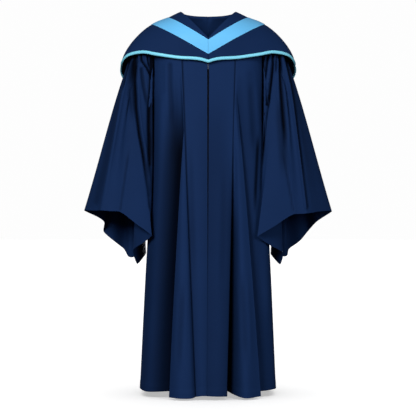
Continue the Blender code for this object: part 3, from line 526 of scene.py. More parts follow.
def fold_line(fold, seam, down, back):
    """A fold line from the yoke seam (0) to the hem (1)."""
    z = mix(YOKE_SEAM_Z - SEAM_GAP, HEM_Z - fold.drop, down)
    opened = ease((fold.opens - z) / (fold.opens - HEM_Z)) ** 0.7
    x = mix(fold.x_top, fold.x_hem, down)
    if fold.fan:
        fanned = np.maximum(0.0, (fold.fan - z) / (fold.fan - HEM_Z)) ** 0.9
        x = mix(seam.x_top, seam.x_hem, down)
        x = x + mix(fold.x_top - seam.x_top, fold.x_hem - seam.x_hem, fanned)
    points = body_points(x, z, back, fold.out * opened)
    # painted shade along this fold line, growing to its full share below the height where it starts
    dark = fold.dark * ease((fold.dark_z - z) / PAINTED_SHADE_RAMP)
    return np.concatenate([points, dark[:, None]], axis=1)


def side_line(down, back):
    """The armhole edge of a panel and, below it, its side seam."""
    z = mix(YOKE_SEAM_Z - SEAM_GAP, HEM_Z, down)
    share = np.clip((z - ARMHOLE_MIDDLE_Z) / ARMHOLE_HALF_HEIGHT, -1.0, 1.0)
    points = armhole(np.degrees(np.arccos(share)))
    y = np.maximum(-points[:, 1], 0)
    x = np.where(z > ARMHOLE_LOW_Z, points[:, 0], read(BODY_FORM, "z", "half_width", z))
    return np.stack([x, y if back else -y, z, 0 * z], axis=-1)


def panel(folds, back, pitch, rows):
    """A quarter of the body as rows of points, its painted shade, and the column of each fold line."""
    down = np.linspace(0, 1, rows)
    seam = next((fold for fold in folds if fold.name == BAND_SEAM), None)
    lines = [fold_line(fold, seam, down, back) for fold in folds] + [side_line(down, back)]
    points = np.stack(lines, axis=1)
    at_hem = np.linalg.norm(np.diff(points[-1, :, :3], axis=0), axis=1)
    steps = [max(3, round(span / pitch)) for span in at_hem]
    columns = np.concatenate([[0], np.cumsum(steps)])
    made = through(points, [fold.sharp for fold in folds] + [1.0], steps)
    return made[..., :3], np.clip(made[..., 3], 0, 1), columns


def sleeve(pleats, steps, rows):
    """A sleeve as rings of points from the armhole down to the hem, on the +X side."""
    down = np.linspace(0, 1, rows)[:, None] ** SLEEVE_ROW_BIAS
    lines = []
    for pleat in pleats:
        seam = armhole(np.array(float(pleat.start))) + np.array((SLEEVE_GAP, 0, 0))
        a = math.radians(pleat.start)
        lower = float(ease(1.15 * math.sin(a / 2) ** 2))
        spread = (mix(GATHER_TOP, GATHER_LOW, lower) + pleat.puff) * (1 - CLING_SHARE * pleat.cling)
        forward = -math.sin(a) * (GATHER_OUT + pleat.puff)
        push = np.array((spread, forward, -mix(*GATHER_DROP, lower)))
        hem = np.array((pleat.x, pleat.y, pleat.z))
        high = SLEEVE_SHOULDER + np.array((0, HANG_DEPTH * pleat.y, 0))
        hang = mix(hem, high, mix(*HANG_SHARE, lower))
        hang[0] = mix(hang[0], CLING_X, pleat.cling)
        hang[1] += 0.6 * pleat.puff * (-1 if pleat.y < 0 else 1)
        lines.append(bent(seam, seam + push, hang, hem, down))
    points = np.stack(lines, axis=1)
    count = len(pleats)
    turns = [(k - 2) % count for k in range(count + 5)]
    rings = []
    for i in range(rows):
        sharps = [pleats[k].sharp * float(down[i, 0]) for k in turns]
        rings.append(through(points[i : i + 1, turns], sharps, [steps] * (len(turns) - 1)))
    rings = np.concatenate(rings, axis=0)
    return rings[:, 2 * steps : (count + 2) * steps]


def hood_points(x, z, back):
    """Points of the hood's form: it stands over the shoulders and falls to the front or the back."""
    depth = np.where(back, HOOD_BACK, HOOD_FRONT)
    y = depth * oval(x, HOOD_HALF_WIDTH + 0.001, HOOD_SQUARE)
    y = y * rounded(shoulder(x) - z)
    return np.stack([x, np.where(back, y, -y), z], axis=-1)


def ring_points(ring, turn):
    """A ring of the hood at turns from the centre front (0) past the shoulder (90) to the back (180)."""
    x = ring.side_x * np.sin(np.radians(turn))
    share = x / ring.side_x
    side_z = float(shoulder(np.array(ring.side_x)))
    back = turn > 90
    z = np.where(back, mix(ring.back_z, side_z, share**2.5), mix(ring.front_z, side_z, share))
    return hood_points(x, z, back)


def edge_points(turn):
    """The hood's free edge at turns from the centre front."""
    y = np.cos(np.radians(turn))
    depth = np.where(y < 0, HOOD_BACK, HOOD_FRONT)
    flat = -depth * np.sign(y) * np.abs(y) ** HOOD_CORNERS
    return np.stack([read(HOOD_EDGE, "turn", "x", turn), flat, read(HOOD_EDGE, "turn", "z", turn)], axis=-1)


def between(start, end, t, back):
    """Points of the hood's form on the way from one ring to the next, by their drop from the shoulder."""
    drops = [shoulder(p[..., 0]) - p[..., 2] for p in (start, end)]
    x = mix(start[..., 0], end[..., 0], t)
    return hood_points(x, shoulder(x) - mix(*drops, t), back)


def hood(turn, inner, outer):
    """Half of the hood as rows from the neck edge out to the free edge, with inner rows to each ring."""
    rings = [ring_points(ring, turn) for ring in (NECK_RING, BAND_TOP, BAND_LOW)]
    rows = []
    for low, high in zip(rings, rings[1:]):
        rows += [between(low, high, k / inner, turn > 90) for k in range(inner)]
    start, end = rings[-1], edge_points(turn)
    level, fall = (end - start) * (1, 1, 0), (end - start) * (0, 0, 1)
    leave = start + level * HOOD_LEAVE[0] + fall * HOOD_LEAVE[1]
    arrive = end - level * HOOD_ARRIVE[0] - fall * HOOD_ARRIVE[1]
    rows += [bent(start, leave, arrive, end, k / outer) for k in range(outer + 1)]
    return np.stack(rows)


# ---- Cloth as closed walls ----------------------------------------------------------------------
def unit(vectors):
    return vectors / np.maximum(np.linalg.norm(vectors, axis=-1, keepdims=True), 1e-9)


def way_out(rows, sign, closed=False):
    """The way out of a sheet at each of its points. The sign tells which way its columns run."""
    down = np.gradient(rows, axis=0)
    if closed:
        side = np.roll(rows, -1, axis=1) - np.roll(rows, 1, axis=1)
    else:
        side = np.gradient(rows, axis=1)
    return sign * unit(np.cross(side, down))


def brought_round(rows, closed):
    """The rows, each ending where it starts if the sheet is closed."""
    return np.concatenate([rows, rows[:, :1]], axis=1) if closed else rows


def laid_flat(rows, closed=False):
    """Where each point lies on the cut cloth, in metres: along the row and down the column."""
    wide = brought_round(rows, closed)
    across = np.linalg.norm(np.diff(wide, axis=1), axis=2)
    along = np.linalg.norm(np.diff(wide, axis=0), axis=2)
    u = np.concatenate([np.zeros((len(wide), 1)), np.cumsum(across, axis=1)], axis=1)
    v = np.concatenate([np.zeros((1, wide.shape[1])), np.cumsum(along, axis=0)], axis=0)
    return np.stack([u, -v], axis=-1)


def crease(rows, normals, creases, dark):
    """Presses creases into a sheet along its normals, and paints shade into them."""
    lift = np.zeros(rows.shape[:2])
    for one in creases:
        line = np.array(one.line) / 1000
        best = np.full(rows.shape[:2], 1e9)
        share = np.zeros(rows.shape[:2])
        lengths = np.linalg.norm(np.diff(line, axis=0), axis=1)
        before = np.concatenate([[0], np.cumsum(lengths)])
        place = rows[..., [0, 2]]
        for a, b, start, length in zip(line, line[1:], before, lengths):
            t = np.clip(((place - a) @ (b - a)) / length**2, 0, 1)
            away = np.linalg.norm(place - a - t[..., None] * (b - a), axis=-1)
            nearer = away < best
            best = np.where(nearer, away, best)
            share = np.where(nearer, (start + t * length) / before[-1], share)
        taper = np.maximum(one.head, ease(share * 4)) * np.maximum(one.foot, ease((1 - share) * 3))
        faces = ease((normals[..., 1] * one.face + 0.1) * 2.5)
        width = one.width / 1000 * mix(one.top_wide, 1.0, ease(share * 2))
        middle = np.exp(-((best / width) ** 2))
        lips = np.exp(-(((best - 1.7 * width) / (0.7 * width)) ** 2))
        lift += taper * faces * (one.height * middle + one.lip * lips) / 1000
        seen = ease((normals[..., 1] * one.face + 0.75) * 2.0)
        # painted shade in the crease's middle, added to the sheet's painted shade
        shade = np.exp(-((best / (0.95 * width)) ** 3)) * taper * seen * one.dark
        dark = 1 - (1 - dark) * (1 - shade)
    return rows + normals * lift[..., None], dark


def cloth(name, rows, normals, wall, material, closed=False, mirror=False, dark=None):
    """A closed wall with its outer face on the rows, a UV map in metres of the cut, and its painted shade."""
    height, width = rows.shape[:2]
    flat = laid_flat(rows, closed)
    points = np.concatenate([rows.reshape(-1, 3), (rows - normals * wall).reshape(-1, 3)])
    if mirror:
        points = points * (-1, 1, 1)
    across = width if closed else width - 1
    i, k = np.meshgrid(np.arange(height - 1), np.arange(across), indexing="ij")
    i, k = i.ravel(), k.ravel()
    n = (k + 1) % width
    inner = height * width
    corners = [i * width + k, (i + 1) * width + k, (i + 1) * width + n, i * width + n]
    spots = np.stack([flat[i, k], flat[i + 1, k], flat[i + 1, k + 1], flat[i, k + 1]], axis=1)
    outer_faces = np.stack(corners, axis=1)
    inner_faces = outer_faces[:, ::-1] + inner
    faces = [outer_faces, inner_faces]
    spots = [spots, spots[:, ::-1]]
    rims = []
    for edge, flip in ((0, 1), (height - 1, 0)):
        line = np.arange(width)
        ends = (line + 1) % width if closed else line[1:]
        starts = line if closed else line[:-1]
        rims.append((edge * width + starts, edge * width + ends, flat[edge, starts], flip))
    if not closed:
        for edge, flip in ((0, 0), (width - 1, 1)):
            line = np.arange(height)
            rims.append((line[:-1] * width + edge, line[1:] * width + edge, flat[line[:-1], edge], flip))
    for a, b, spot, flip in rims:
        rim = np.stack([a, b, b + inner, a + inner], axis=1)
        faces.append(rim[:, ::-1] if flip else rim)
        spots.append(np.repeat(spot[:, None], 4, axis=1))
    faces, spots = np.concatenate(faces), np.concatenate(spots)
    if mirror:
        faces, spots = faces[:, ::-1], spots[:, ::-1]
    piece = sewn(name, points, faces.tolist(), spots, material)
    # the painted shade goes on the points, for the material to darken the colour by
    if dark is not None:
        painted_shade_layer = piece.data.attributes.new("dark", "FLOAT", "POINT")
        painted_shade_layer.data.foreach_set("value", np.concatenate([dark.ravel()] * 2).astype(np.float32))
    return piece


def sewn(name, points, faces, spots, material):
    """A piece of these faces, turned out and shaded smooth but for its rims, with its UV map."""
    mesh = bpy.data.meshes.new(name)
    mesh.from_pydata(points.tolist(), [], faces)
    layer = mesh.uv_layers.new(name="Cut")
    layer.data.foreach_set("uv", spots.reshape(-1).astype(np.float32))
    mesh.materials.append(material)
    shape = bmesh.new()
    shape.from_mesh(mesh)
    bmesh.ops.recalc_face_normals(shape, faces=shape.faces)
    shape.to_mesh(mesh)
    shape.free()
    mesh.shade_smooth()
    mesh.set_sharp_from_angle(angle=math.radians(RIM_ANGLE))
    piece = bpy.data.objects.new(name, mesh)
    bpy.context.scene.collection.objects.link(piece)
    return piece


def area_of(rows, closed=False):
    wide = brought_round(rows, closed)
    a, b, c, d = wide[:-1, :-1], wide[1:, :-1], wide[1:, 1:], wide[:-1, 1:]
    halves = [np.linalg.norm(np.cross(near - a, far - a), axis=-1) for near, far in ((b, c), (c, d))]
    return float((halves[0] + halves[1]).sum() / 2)


def dress(piece, node):
    """Rides a piece on the gown in place of its solid."""
    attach(piece, BODY)
    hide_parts(node)


def declare(piece, node, rows, closed=False):
    """Rides a cloth piece on the gown in place of its solid, and measures the width, length and area of the
    cloth cut for it.
    """
    dress(piece, node)
    flat = laid_flat(rows, closed)
    width = float(flat[..., 0].max())
    length = float(-flat[..., 1].min())
    area = min(area_of(rows, closed), 0.999 * width * length)


# ---- Materials ----------------------------------------------------------------------------------
class Value:
    """A number that changes over a surface, written as an ordinary expression."""

    def __init__(self, dye, socket):
        self.dye = dye
        self.socket = socket

    def __add__(self, other):
        return self.dye.math("ADD", self, other)

    def __sub__(self, other):
        return self.dye.math("SUBTRACT", self, other)

    def __mul__(self, other):
        return self.dye.math("MULTIPLY", self, other)

    def __rsub__(self, other):
        return self.dye.math("SUBTRACT", other, self)

    __radd__, __rmul__ = __add__, __mul__

    def sin(self):
        return self.dye.math("SINE", self)


class Dye:
    """A material's node tree, with one method for every kind of node."""

    def __init__(self, name):
        self.material = bpy.data.materials.new(name)
        self.material.use_nodes = True
        self.tree = self.material.node_tree
        self.shader = self.tree.nodes["Principled BSDF"]

    def link(self, value, socket):
        if isinstance(value, Value):
            self.tree.links.new(value.socket, socket)
        elif isinstance(value, bpy.types.NodeSocket):
            self.tree.links.new(value, socket)
        else:
            socket.default_value = value

    def node(self, kind, settings=None, inputs=None):
        made = self.tree.nodes.new(kind)
        for name, value in (settings or {}).items():
            setattr(made, name, value)
        for name, value in (inputs or {}).items():
            self.link(value, made.inputs[name])
        return made

    def math(self, operation, *values):
        made = self.node("ShaderNodeMath", {"operation": operation}, dict(enumerate(values)))
        return Value(self, made.outputs[0])

    def noise(self, scale, detail, where):
        inputs = {"Scale": scale, "Detail": detail, "Roughness": 0.55, "Vector": where}
        return Value(self, self.node("ShaderNodeTexNoise", {}, inputs).outputs[0])

    def wave(self, value, pitch):
        """A wave between 0 and 1 that comes back at every pitch."""
        return (value * (math.tau / pitch)).sin() * 0.5 + 0.5

    def painted_shade_layer(self):
        """The shade painted on the cloth, as the cloth's mesh holds it."""
        return self.node("ShaderNodeAttribute", {"attribute_name": "dark"}).outputs["Fac"]

    def blend(self, share, low, high):
        """A colour between two, each a plain colour or another blend."""
        made = self.node("ShaderNodeMix", {"data_type": "RGBA"})
        self.link(share, made.inputs[0])
        for colour, socket in ((low, made.inputs[6]), (high, made.inputs[7])):
            self.link((*colour, 1) if isinstance(colour, tuple) else colour, socket)
        return made.outputs[2]

    def bump(self, height, distance, strength=1.0):
        inputs = {"Height": height, "Distance": distance, "Strength": strength}
        return self.node("ShaderNodeBump", {}, inputs).outputs[0]

    def cut(self):
        """The two directions of the cut cloth, in metres, and the place in space."""
        uv = self.node("ShaderNodeUVMap", {"uv_map": "Cut"})
        parts = self.node("ShaderNodeSeparateXYZ", {}, {"Vector": uv.outputs[0]})
        space = self.node("ShaderNodeTexCoord").outputs["Object"]
        return Value(self, parts.outputs[0]), Value(self, parts.outputs[1]), space

    def finish(self, **sockets):
        for name, value in sockets.items():
            self.link(value, self.shader.inputs[name.replace("_", " ")])
        return self.material


def tint(colour, share):
    return tuple(min(1.0, c * share) for c in colour)


def gown_cloth(name, colour, sizes):
    """Plain gown cloth: a fine twill with a soft sheen and a slight unevenness in its dye."""
    dye = Dye(name)
    u, v, space = dye.cut()
    twill = dye.wave(u + v, sizes.twill_pitch)
    thread = dye.wave(u - v, sizes.twill_pitch / 1.6)
    cloud = dye.noise(5.0, 3.0, space)
    slub = dye.noise(420.0, 2.0, space)
    share = cloud * 0.55 + slub * 0.2 + twill * 0.25
    lit = dye.blend(share, tint(colour, 0.80), tint(colour, 1.22))
    height = twill * 0.6 + thread * 0.25 + slub * 0.5
    return dye.finish(
        Sheen_Weight=0.05,
        Sheen_Roughness=0.40,
        Sheen_Tint=(0.20, 0.38, 1.0, 1),
        Specular_IOR_Level=0.02,
        # painted shade: the colour darkens towards a twentieth of itself where the mesh's painted shade is
        # full
        Base_Color=dye.blend(dye.painted_shade_layer(), lit, tint(colour, 0.05)),
        Roughness=cloud * 0.10 + 0.62,
        Normal=dye.bump(height, 0.00012, 0.5),
    )


def satin(name, colour, sizes):
    """Satin ribbon: long floats across the band, so its gloss runs in soft bars."""
    dye = Dye(name)
    u, v, space = dye.cut()
    floats = dye.wave(v, sizes.satin_pitch)
    cloud = dye.noise(9.0, 2.0, space)
    lit = dye.blend(cloud * 0.7 + floats * 0.3, tint(colour, 0.92), tint(colour, 1.06))
    return dye.finish(
        Sheen_Weight=0.04,
        Specular_IOR_Level=0.10,
        # painted shade: the satin darkens towards a third of its colour where the mesh's painted shade is
        # full
        Base_Color=dye.blend(dye.painted_shade_layer(), lit, tint(colour, 0.35)),
        Roughness=cloud * 0.12 + 0.42,
        Normal=dye.bump(floats, 0.00006, 0.5),
    )


def twisted_satin(name, colour, sizes):
    """Satin rolled round a cord on the bias: faint slantwise bars in its relief and roughness, with shade and
    highlight painted along them in its colour.
    """
    dye = Dye(name)
    u, v, space = dye.cut()
    twist_bars_and_painted_shade = dye.wave(u + v * 0.8, sizes.twist_pitch)
    cloud = dye.noise(14.0, 2.0, space)
    return dye.finish(
        Specular_IOR_Level=0.90,
        Specular_Tint=(0.30, 0.55, 1.0, 1),
        # painted shade and highlight: the colour runs darker and lighter along the slantwise twist bars
        Base_Color=dye.blend(twist_bars_and_painted_shade * 0.65 + cloud * 0.35, tint(colour, 0.84), tint(colour, 1.08)),
        Roughness=twist_bars_and_painted_shade * 0.12 + 0.30,
        Normal=dye.bump(twist_bars_and_painted_shade, 0.0004, 0.6),
    )


def zip_tape_cloth(name, colour, sizes):
    """Plain black tape with fine ribs across it."""
    dye = Dye(name)
    ribs = dye.wave(dye.cut()[1], TAPE_RIB_PITCH)
    return dye.finish(
        Specular_IOR_Level=0.0,
        Base_Color=dye.blend(ribs, tint(colour, 0.7), colour),
        Roughness=ribs * 0.1 + 0.8,
        Normal=dye.bump(ribs, 0.0001),
    )


def enamel(name, colour, sizes):
    """Dark enamelled zip metal with fine rubbed scratches."""
    dye = Dye(name)
    space = dye.node("ShaderNodeTexCoord").outputs["Object"]
    rubbed = dye.noise(700.0, 3.0, space)
    return dye.finish(
        Metallic=0.85,
        Base_Color=dye.blend(rubbed, colour, tint(colour, 2.2)),
        Roughness=rubbed * 0.25 + 0.25,
        Normal=dye.bump(rubbed, 0.00003),
    )


# How each slot is made, and the colour property it takes. The teeth are darker than the slider.
MAKERS = {
    "navy_cloth": (gown_cloth, "navy"),
    "satin_band": (satin, "band"),
    "satin_edging": (twisted_satin, "edging"),
    "zip_tape": (zip_tape_cloth, "tape"),
    "zip_teeth": (enamel, "tape"),
    "zip_metal": (enamel, "metal"),
}


# ---- What a user may change ---------------------------------------------------------------------
class GownSizes(PropertyGroup):
    pitch: FloatProperty(
        name="Mesh pitch", description="Width of a cloth face at the hem", default=0.0032, unit="LENGTH"
    )
    panel_rows: IntProperty(name="Panel rows", description="Rows of faces down a body panel", default=200)
    sleeve_rows: IntProperty(name="Sleeve rows", description="Rows of faces down a sleeve", default=130)
    sleeve_steps: IntProperty(name="Sleeve steps", description="Faces between two pleats", default=11)
    hem: FloatProperty(name="Hem", description="Depth of the turned-up hems", default=0.028, unit="LENGTH")
    hem_step: FloatProperty(
        name="Hem step", description="How far the hem's fold stands out", default=0.0006, unit="LENGTH"
    )
    twill_pitch: FloatProperty(
        name="Twill pitch", description="Distance between twill lines", default=0.0009, unit="LENGTH"
    )
    satin_pitch: FloatProperty(
        name="Satin pitch", description="Distance between satin floats", default=0.0011, unit="LENGTH"
    )
    twist_pitch: FloatProperty(
        name="Twist pitch", description="Distance between the edging's bars", default=0.007, unit="LENGTH"
    )
    tooth_pitch: FloatProperty(
        name="Tooth pitch", description="Distance between two zip teeth", default=0.0022, unit="LENGTH"
    )


def colour_property(name, description, default):
    return FloatVectorProperty(
        name=name, description=description, default=default, subtype="COLOR", size=3, min=0, max=1
    )


class GownColours(PropertyGroup):
    navy: colour_property("Gown cloth", "Navy of the gown and hood", (0.0084, 0.0258, 0.0890))
    band: colour_property("Satin band", "Light blue of the band", (0.150, 0.545, 0.950))
    edging: colour_property("Satin edging", "Light blue of the edging", (0.25, 0.76, 1.0))
    tape: colour_property("Zip tape", "Black of the zip's tapes", (0.0015, 0.002, 0.004))
    metal: colour_property("Zip metal", "Dark enamel of the zip", (0.022, 0.030, 0.055))
    floor: colour_property("Floor", "Pale floor and backdrop", (0.95, 0.95, 0.95))


class GownOperator:
    """What the gown's operators share: their sizes, colours and materials."""

    bl_options = {"REGISTER", "UNDO"}

    @property
    def sizes(self):
        return bpy.context.scene.gown_sizes

    @property
    def colours(self):
        return bpy.context.scene.gown_colours

    def material(self, slot):
        """The material of a slot, made when it is first asked for."""
        name = f"fine_{slot}"
        if name in bpy.data.materials:
            return bpy.data.materials[name]
        make, colour = MAKERS[slot]
        return make(name, tuple(getattr(self.colours, colour)), self.sizes)

    def navy(self, node, rows, normals, dark, held, mirror, closed=False):
        piece = cloth(
            node + "_cloth", rows, normals, WALL, self.material("navy_cloth"), closed, mirror, dark
        )
        declare(piece, node, rows, closed=closed)


SIDES = (("right", True), ("left", False))
FOLDS = {
    ("right", False): (RIGHT_FRONT, RIGHT_FRONT_CREASES),
    ("left", False): (LEFT_FRONT, LEFT_FRONT_CREASES),
    ("right", True): (RIGHT_BACK, RIGHT_BACK_CREASES),
    ("left", True): (LEFT_BACK, LEFT_BACK_CREASES),
}
SLEEVES = {
    "right": (RIGHT_SLEEVE, RIGHT_SLEEVE_CREASES),
    "left": (LEFT_SLEEVE, LEFT_SLEEVE_CREASES),
}


def hemmed(rows, normals, sizes):
    """Lets the turned-up hem stand out a little above the lower edge."""
    above = rows[-1, :, 2][None] + sizes.hem - rows[..., 2]
    step = 1 - ease(-above / 0.002 + 0.5)
    groove = np.exp(-((above / 0.0016) ** 2))
    return rows + normals * (sizes.hem_step * step - 0.6 * sizes.hem_step * groove)[..., None]


def ditched(rows, normals, column, dark):
    """Sinks the seam along a column a little, and paints shade along its line."""
    along = -laid_flat(rows)[..., 0]
    away = np.abs(along - along[:, column : column + 1])
    sunk = np.exp(-((away / BAND_SEAM_WIDTH) ** 2))
    narrow = np.exp(-((away / BAND_SEAM_LINE) ** 2))
    # painted shade along the seam line
    dark = 1 - (1 - dark) * (1 - BAND_SEAM_PAINTED_SHADE * narrow)
    return rows - normals * (BAND_SEAM_DEPTH * sunk)[..., None], dark


def body_quarter(side, back, sizes):
    """A quarter of the body with creases and hem, its normals, its painted shade and its band seam's column.
    """
    folds, creases = FOLDS[side, back]
    rows, dark, columns = panel(folds, back, sizes.pitch, sizes.panel_rows)
    normals = way_out(rows, 1 if back else -1)
    rows, dark = crease(rows, normals, creases, dark)
    normals = way_out(rows, 1 if back else -1)
    rows = hemmed(rows, normals, sizes)
    seam = None
    if not back:
        seam = columns[[fold.name for fold in folds].index(BAND_SEAM)]
        rows, dark = ditched(rows, normals, seam, dark)
    normals[:, -1] = (1, 0, 0)
    normals[:, 0] = (0, 1 if back else -1, 0)
    return rows, normals, dark, seam


class GOWN_OT_fronts(GownOperator, Operator):
    """Makes the front bands and the pleated front panels"""

    bl_idname = "gown.fronts"
    bl_label = "Fronts"

    def execute(self, context):
        for side, mirror in SIDES:
            rows, normals, dark, seam = body_quarter(side, False, self.sizes)
            for name, start, end in (("band_front", 0, seam + 1), ("front", seam, rows.shape[1])):
                part = (array[:, start:end] for array in (rows, normals, dark))
                self.navy(f"{name}_{side}", *part, "hung", mirror)
        return {"FINISHED"}


class GOWN_OT_backs(GownOperator, Operator):
    """Makes the two halves of the back"""

    bl_idname = "gown.backs"
    bl_label = "Backs"

    def execute(self, context):
        for side, mirror in SIDES:
            rows, normals, dark, _ = body_quarter(side, True, self.sizes)
            self.navy(f"back_{side}", rows, normals, dark, "hung", mirror)
        return {"FINISHED"}


class GOWN_OT_sleeves(GownOperator, Operator):
    """Makes the bell sleeves"""

    bl_idname = "gown.sleeves"
    bl_label = "Sleeves"

    def execute(self, context):
        sizes = self.sizes
        for side, mirror in SIDES:
            pleats, creases = SLEEVES[side]
            rows = sleeve(pleats, sizes.sleeve_steps, sizes.sleeve_rows)
            normals = way_out(rows, 1, closed=True)
            # the sleeves start with an even share of painted shade, and their creases add more
            rows, dark = crease(rows, normals, creases, np.full(rows.shape[:2], SLEEVE_PAINTED_SHADE))
            normals = way_out(rows, 1, closed=True)
            self.navy(f"sleeve_{side}", rows, normals, dark, "hung", mirror, closed=True)
        return {"FINISHED"}


class GOWN_OT_yokes(GownOperator, Operator):
    """Makes the yokes under the hood"""

    bl_idname = "gown.yokes"
    bl_label = "Yokes"

    def execute(self, context):
        for side, mirror in SIDES:
            for back in (False, True):
                rows = yoke(back, *YOKE_GRID)
                normals = way_out(rows, 1 if back else -1)
                node = f"yoke_{'back' if back else 'front'}_{side}"
                self.navy(node, rows, normals, None, "draped", mirror)
        return {"FINISHED"}


def yoke(back, rows, columns):
    """Half of the front or back yoke, from the shoulder seam down to the yoke seam."""
    sign = 1 if back else -1
    depth = BODY_FORM[0].back if back else BODY_FORM[0].front
    share = np.linspace(0, 1, rows)
    reach = np.minimum(share / YOKE_NECK_SHARE, 1.0)
    turn = 90 + 90 * reach if back else 90 - 90 * reach
    ring = ring_points(NECK_RING, turn)
    second = between(ring, ring_points(BAND_TOP, turn), 0.1, turn > 90)
    way = unit(np.cross(np.gradient(ring, axis=0), second - ring))
    way *= np.sign(way[0, 2])
    inner = ring - way * (WALL + SEAM_GAP + YOKE_NECK_GAP)
    last = np.array((0, sign * depth, YOKE_SEAM_Z + SEAM_GAP))
    low = ease((share - YOKE_NECK_SHARE) / (1 - YOKE_NECK_SHARE))[:, None]
    inner = mix(inner, last, low)
    inner[:, 0] = np.maximum(inner[:, 0], 0)
    outer = armhole(ARMHOLE_CORNER * share)
    outer[:, 1] = np.abs(outer[:, 1])
    u = np.linspace(0, 1, columns)[None, :]
    x = mix(inner[:, :1], outer[:, :1], u)
    top = shoulder(np.minimum(x, BODY_SIDE_X)) - YOKE_UNDER
    edges = [shoulder(np.minimum(p[:, :1], BODY_SIDE_X)) - YOKE_UNDER - p[:, 2:3] for p in (inner, outer)]
    form_z = top - np.maximum(0, mix(*edges, u))
    form_y = depth * oval(x, 0.2, 3.0) * rounded(top - form_z)
    near = np.exp(-u / 0.05) + np.exp(-(1 - u) / 0.05)
    y = mix(form_y, mix(np.abs(inner[:, 1:2]), outer[:, 1:2], u), np.clip(near, 0, 1))
    z = mix(form_z, mix(inner[:, 2:3], outer[:, 2:3], u), np.clip(near, 0, 1))
    y = np.maximum(y * ease(share * 12)[:, None], SEAM_GAP)
    return np.stack([x, sign * y, z], axis=-1)


class GOWN_OT_hood(GownOperator, Operator):
    """Makes the hood cape over the shoulders, its satin band and its rounded edging"""

    bl_idname = "gown.hood"
    bl_label = "Hood cape"

    def execute(self, context):
        near = np.array((0.0, 0.22, 0.45, 0.75, 1.1))  # degrees: close columns at the centre seams
        turn = np.concatenate([near, np.linspace(1.7, 178.3, 157), 180 - near[::-1]])
        inner, outer = 16, 46
        for side, mirror in SIDES:
            rows = hood(turn, inner, outer)
            rows[:, 0, 0] = rows[:, -1, 0] = 0
            normals = way_out(rows, -1)
            normals[:, [0, -1], 0] = 0
            normals = unit(normals)
            sunk = np.exp(-((rows[..., 0] / CENTRE_SEAM_WIDTH) ** 2))
            laid = rows - normals * (CENTRE_SEAM_DEPTH * sunk)[..., None]
            # the hood's painted shade: an even share all over, and a dark line painted along the centre seam
            dark = 1 - (1 - HOOD_PAINTED_SHADE) * (1 - CENTRE_SEAM_PAINTED_SHADE * sunk)
            node = f"hood_{side}"
            navy = self.material("navy_cloth")
            piece = cloth(node + "_cloth", laid, normals, WALL, navy, mirror=mirror, dark=dark)
            declare(piece, node, rows)

            part, ways = rows[inner : 2 * inner + 1], normals[inner : 2 * inner + 1]
            puff = BAND_PUFF * np.sin(np.linspace(0, math.pi, inner + 1))[:, None, None]
            sunk = np.exp(-((part[..., 0] / MITRE_WIDTH) ** 2))
            laid = part + ways * (BAND_GAP + SATIN_WALL + puff - MITRE_DEPTH * sunk[..., None])
            node = f"hood_band_{side}"
            # painted shade along the mitre of the band
            band, dark = self.material("satin_band"), MITRE_PAINTED_SHADE * sunk
            piece = cloth(node + "_satin", laid, ways, SATIN_WALL, band, mirror=mirror, dark=dark)
            declare(piece, node, laid)

            fall = unit(rows[-1] - rows[-2])
            fall[[0, -1], 0] = 0
            fall = unit(fall)
            middle = rows[-1] + fall * (EDGING_HALF_HEIGHT + EDGING_GAP) - normals[-1] * EDGING_BACK
            around = np.linspace(0, math.tau, EDGING_SIDES, endpoint=False)[:, None, None]
            ring = middle + fall * EDGING_HALF_HEIGHT * np.cos(around)
            ring = ring + normals[-1] * EDGING_HALF_THICK * np.sin(around)
            node = f"hood_edging_{side}"
            piece = cord(node + "_satin", ring, self.material("satin_edging"), mirror)
            dress(piece, node)
        return {"FINISHED"}


def cord(name, rings, material, mirror):
    """A closed round cord. The rings array is (points round it, points along it, 3)."""
    around, along = rings.shape[:2]
    ends = rings[:, [0, -1]].mean(axis=0)
    points = np.concatenate([rings.reshape(-1, 3), ends])
    if mirror:
        points = points * (-1, 1, 1)
    i, k = np.meshgrid(np.arange(around), np.arange(along - 1), indexing="ij")
    i, k = i.ravel(), k.ravel()
    n = (i + 1) % around
    faces = np.stack([i * along + k, i * along + k + 1, n * along + k + 1, n * along + k], axis=1).tolist()
    length = np.concatenate([[0], np.cumsum(np.linalg.norm(np.diff(rings[0], axis=0), axis=1))])
    girth = np.arange(around + 1) / around * math.pi * (EDGING_HALF_HEIGHT + EDGING_HALF_THICK)
    corners = ((k, i), (k + 1, i), (k + 1, i + 1), (k, i + 1))
    spots = np.stack([np.stack([length[a], girth[b]], axis=1) for a, b in corners], axis=1).reshape(-1, 2)
    first, last = around * along, around * along + 1
    for a in range(around):
        b = (a + 1) % around
        faces.append([a * along, first, b * along])
        faces.append([a * along + along - 1, b * along + along - 1, last])
    spots = np.concatenate([spots, np.zeros((6 * around, 2))])
    return sewn(name, points, faces, spots, material)


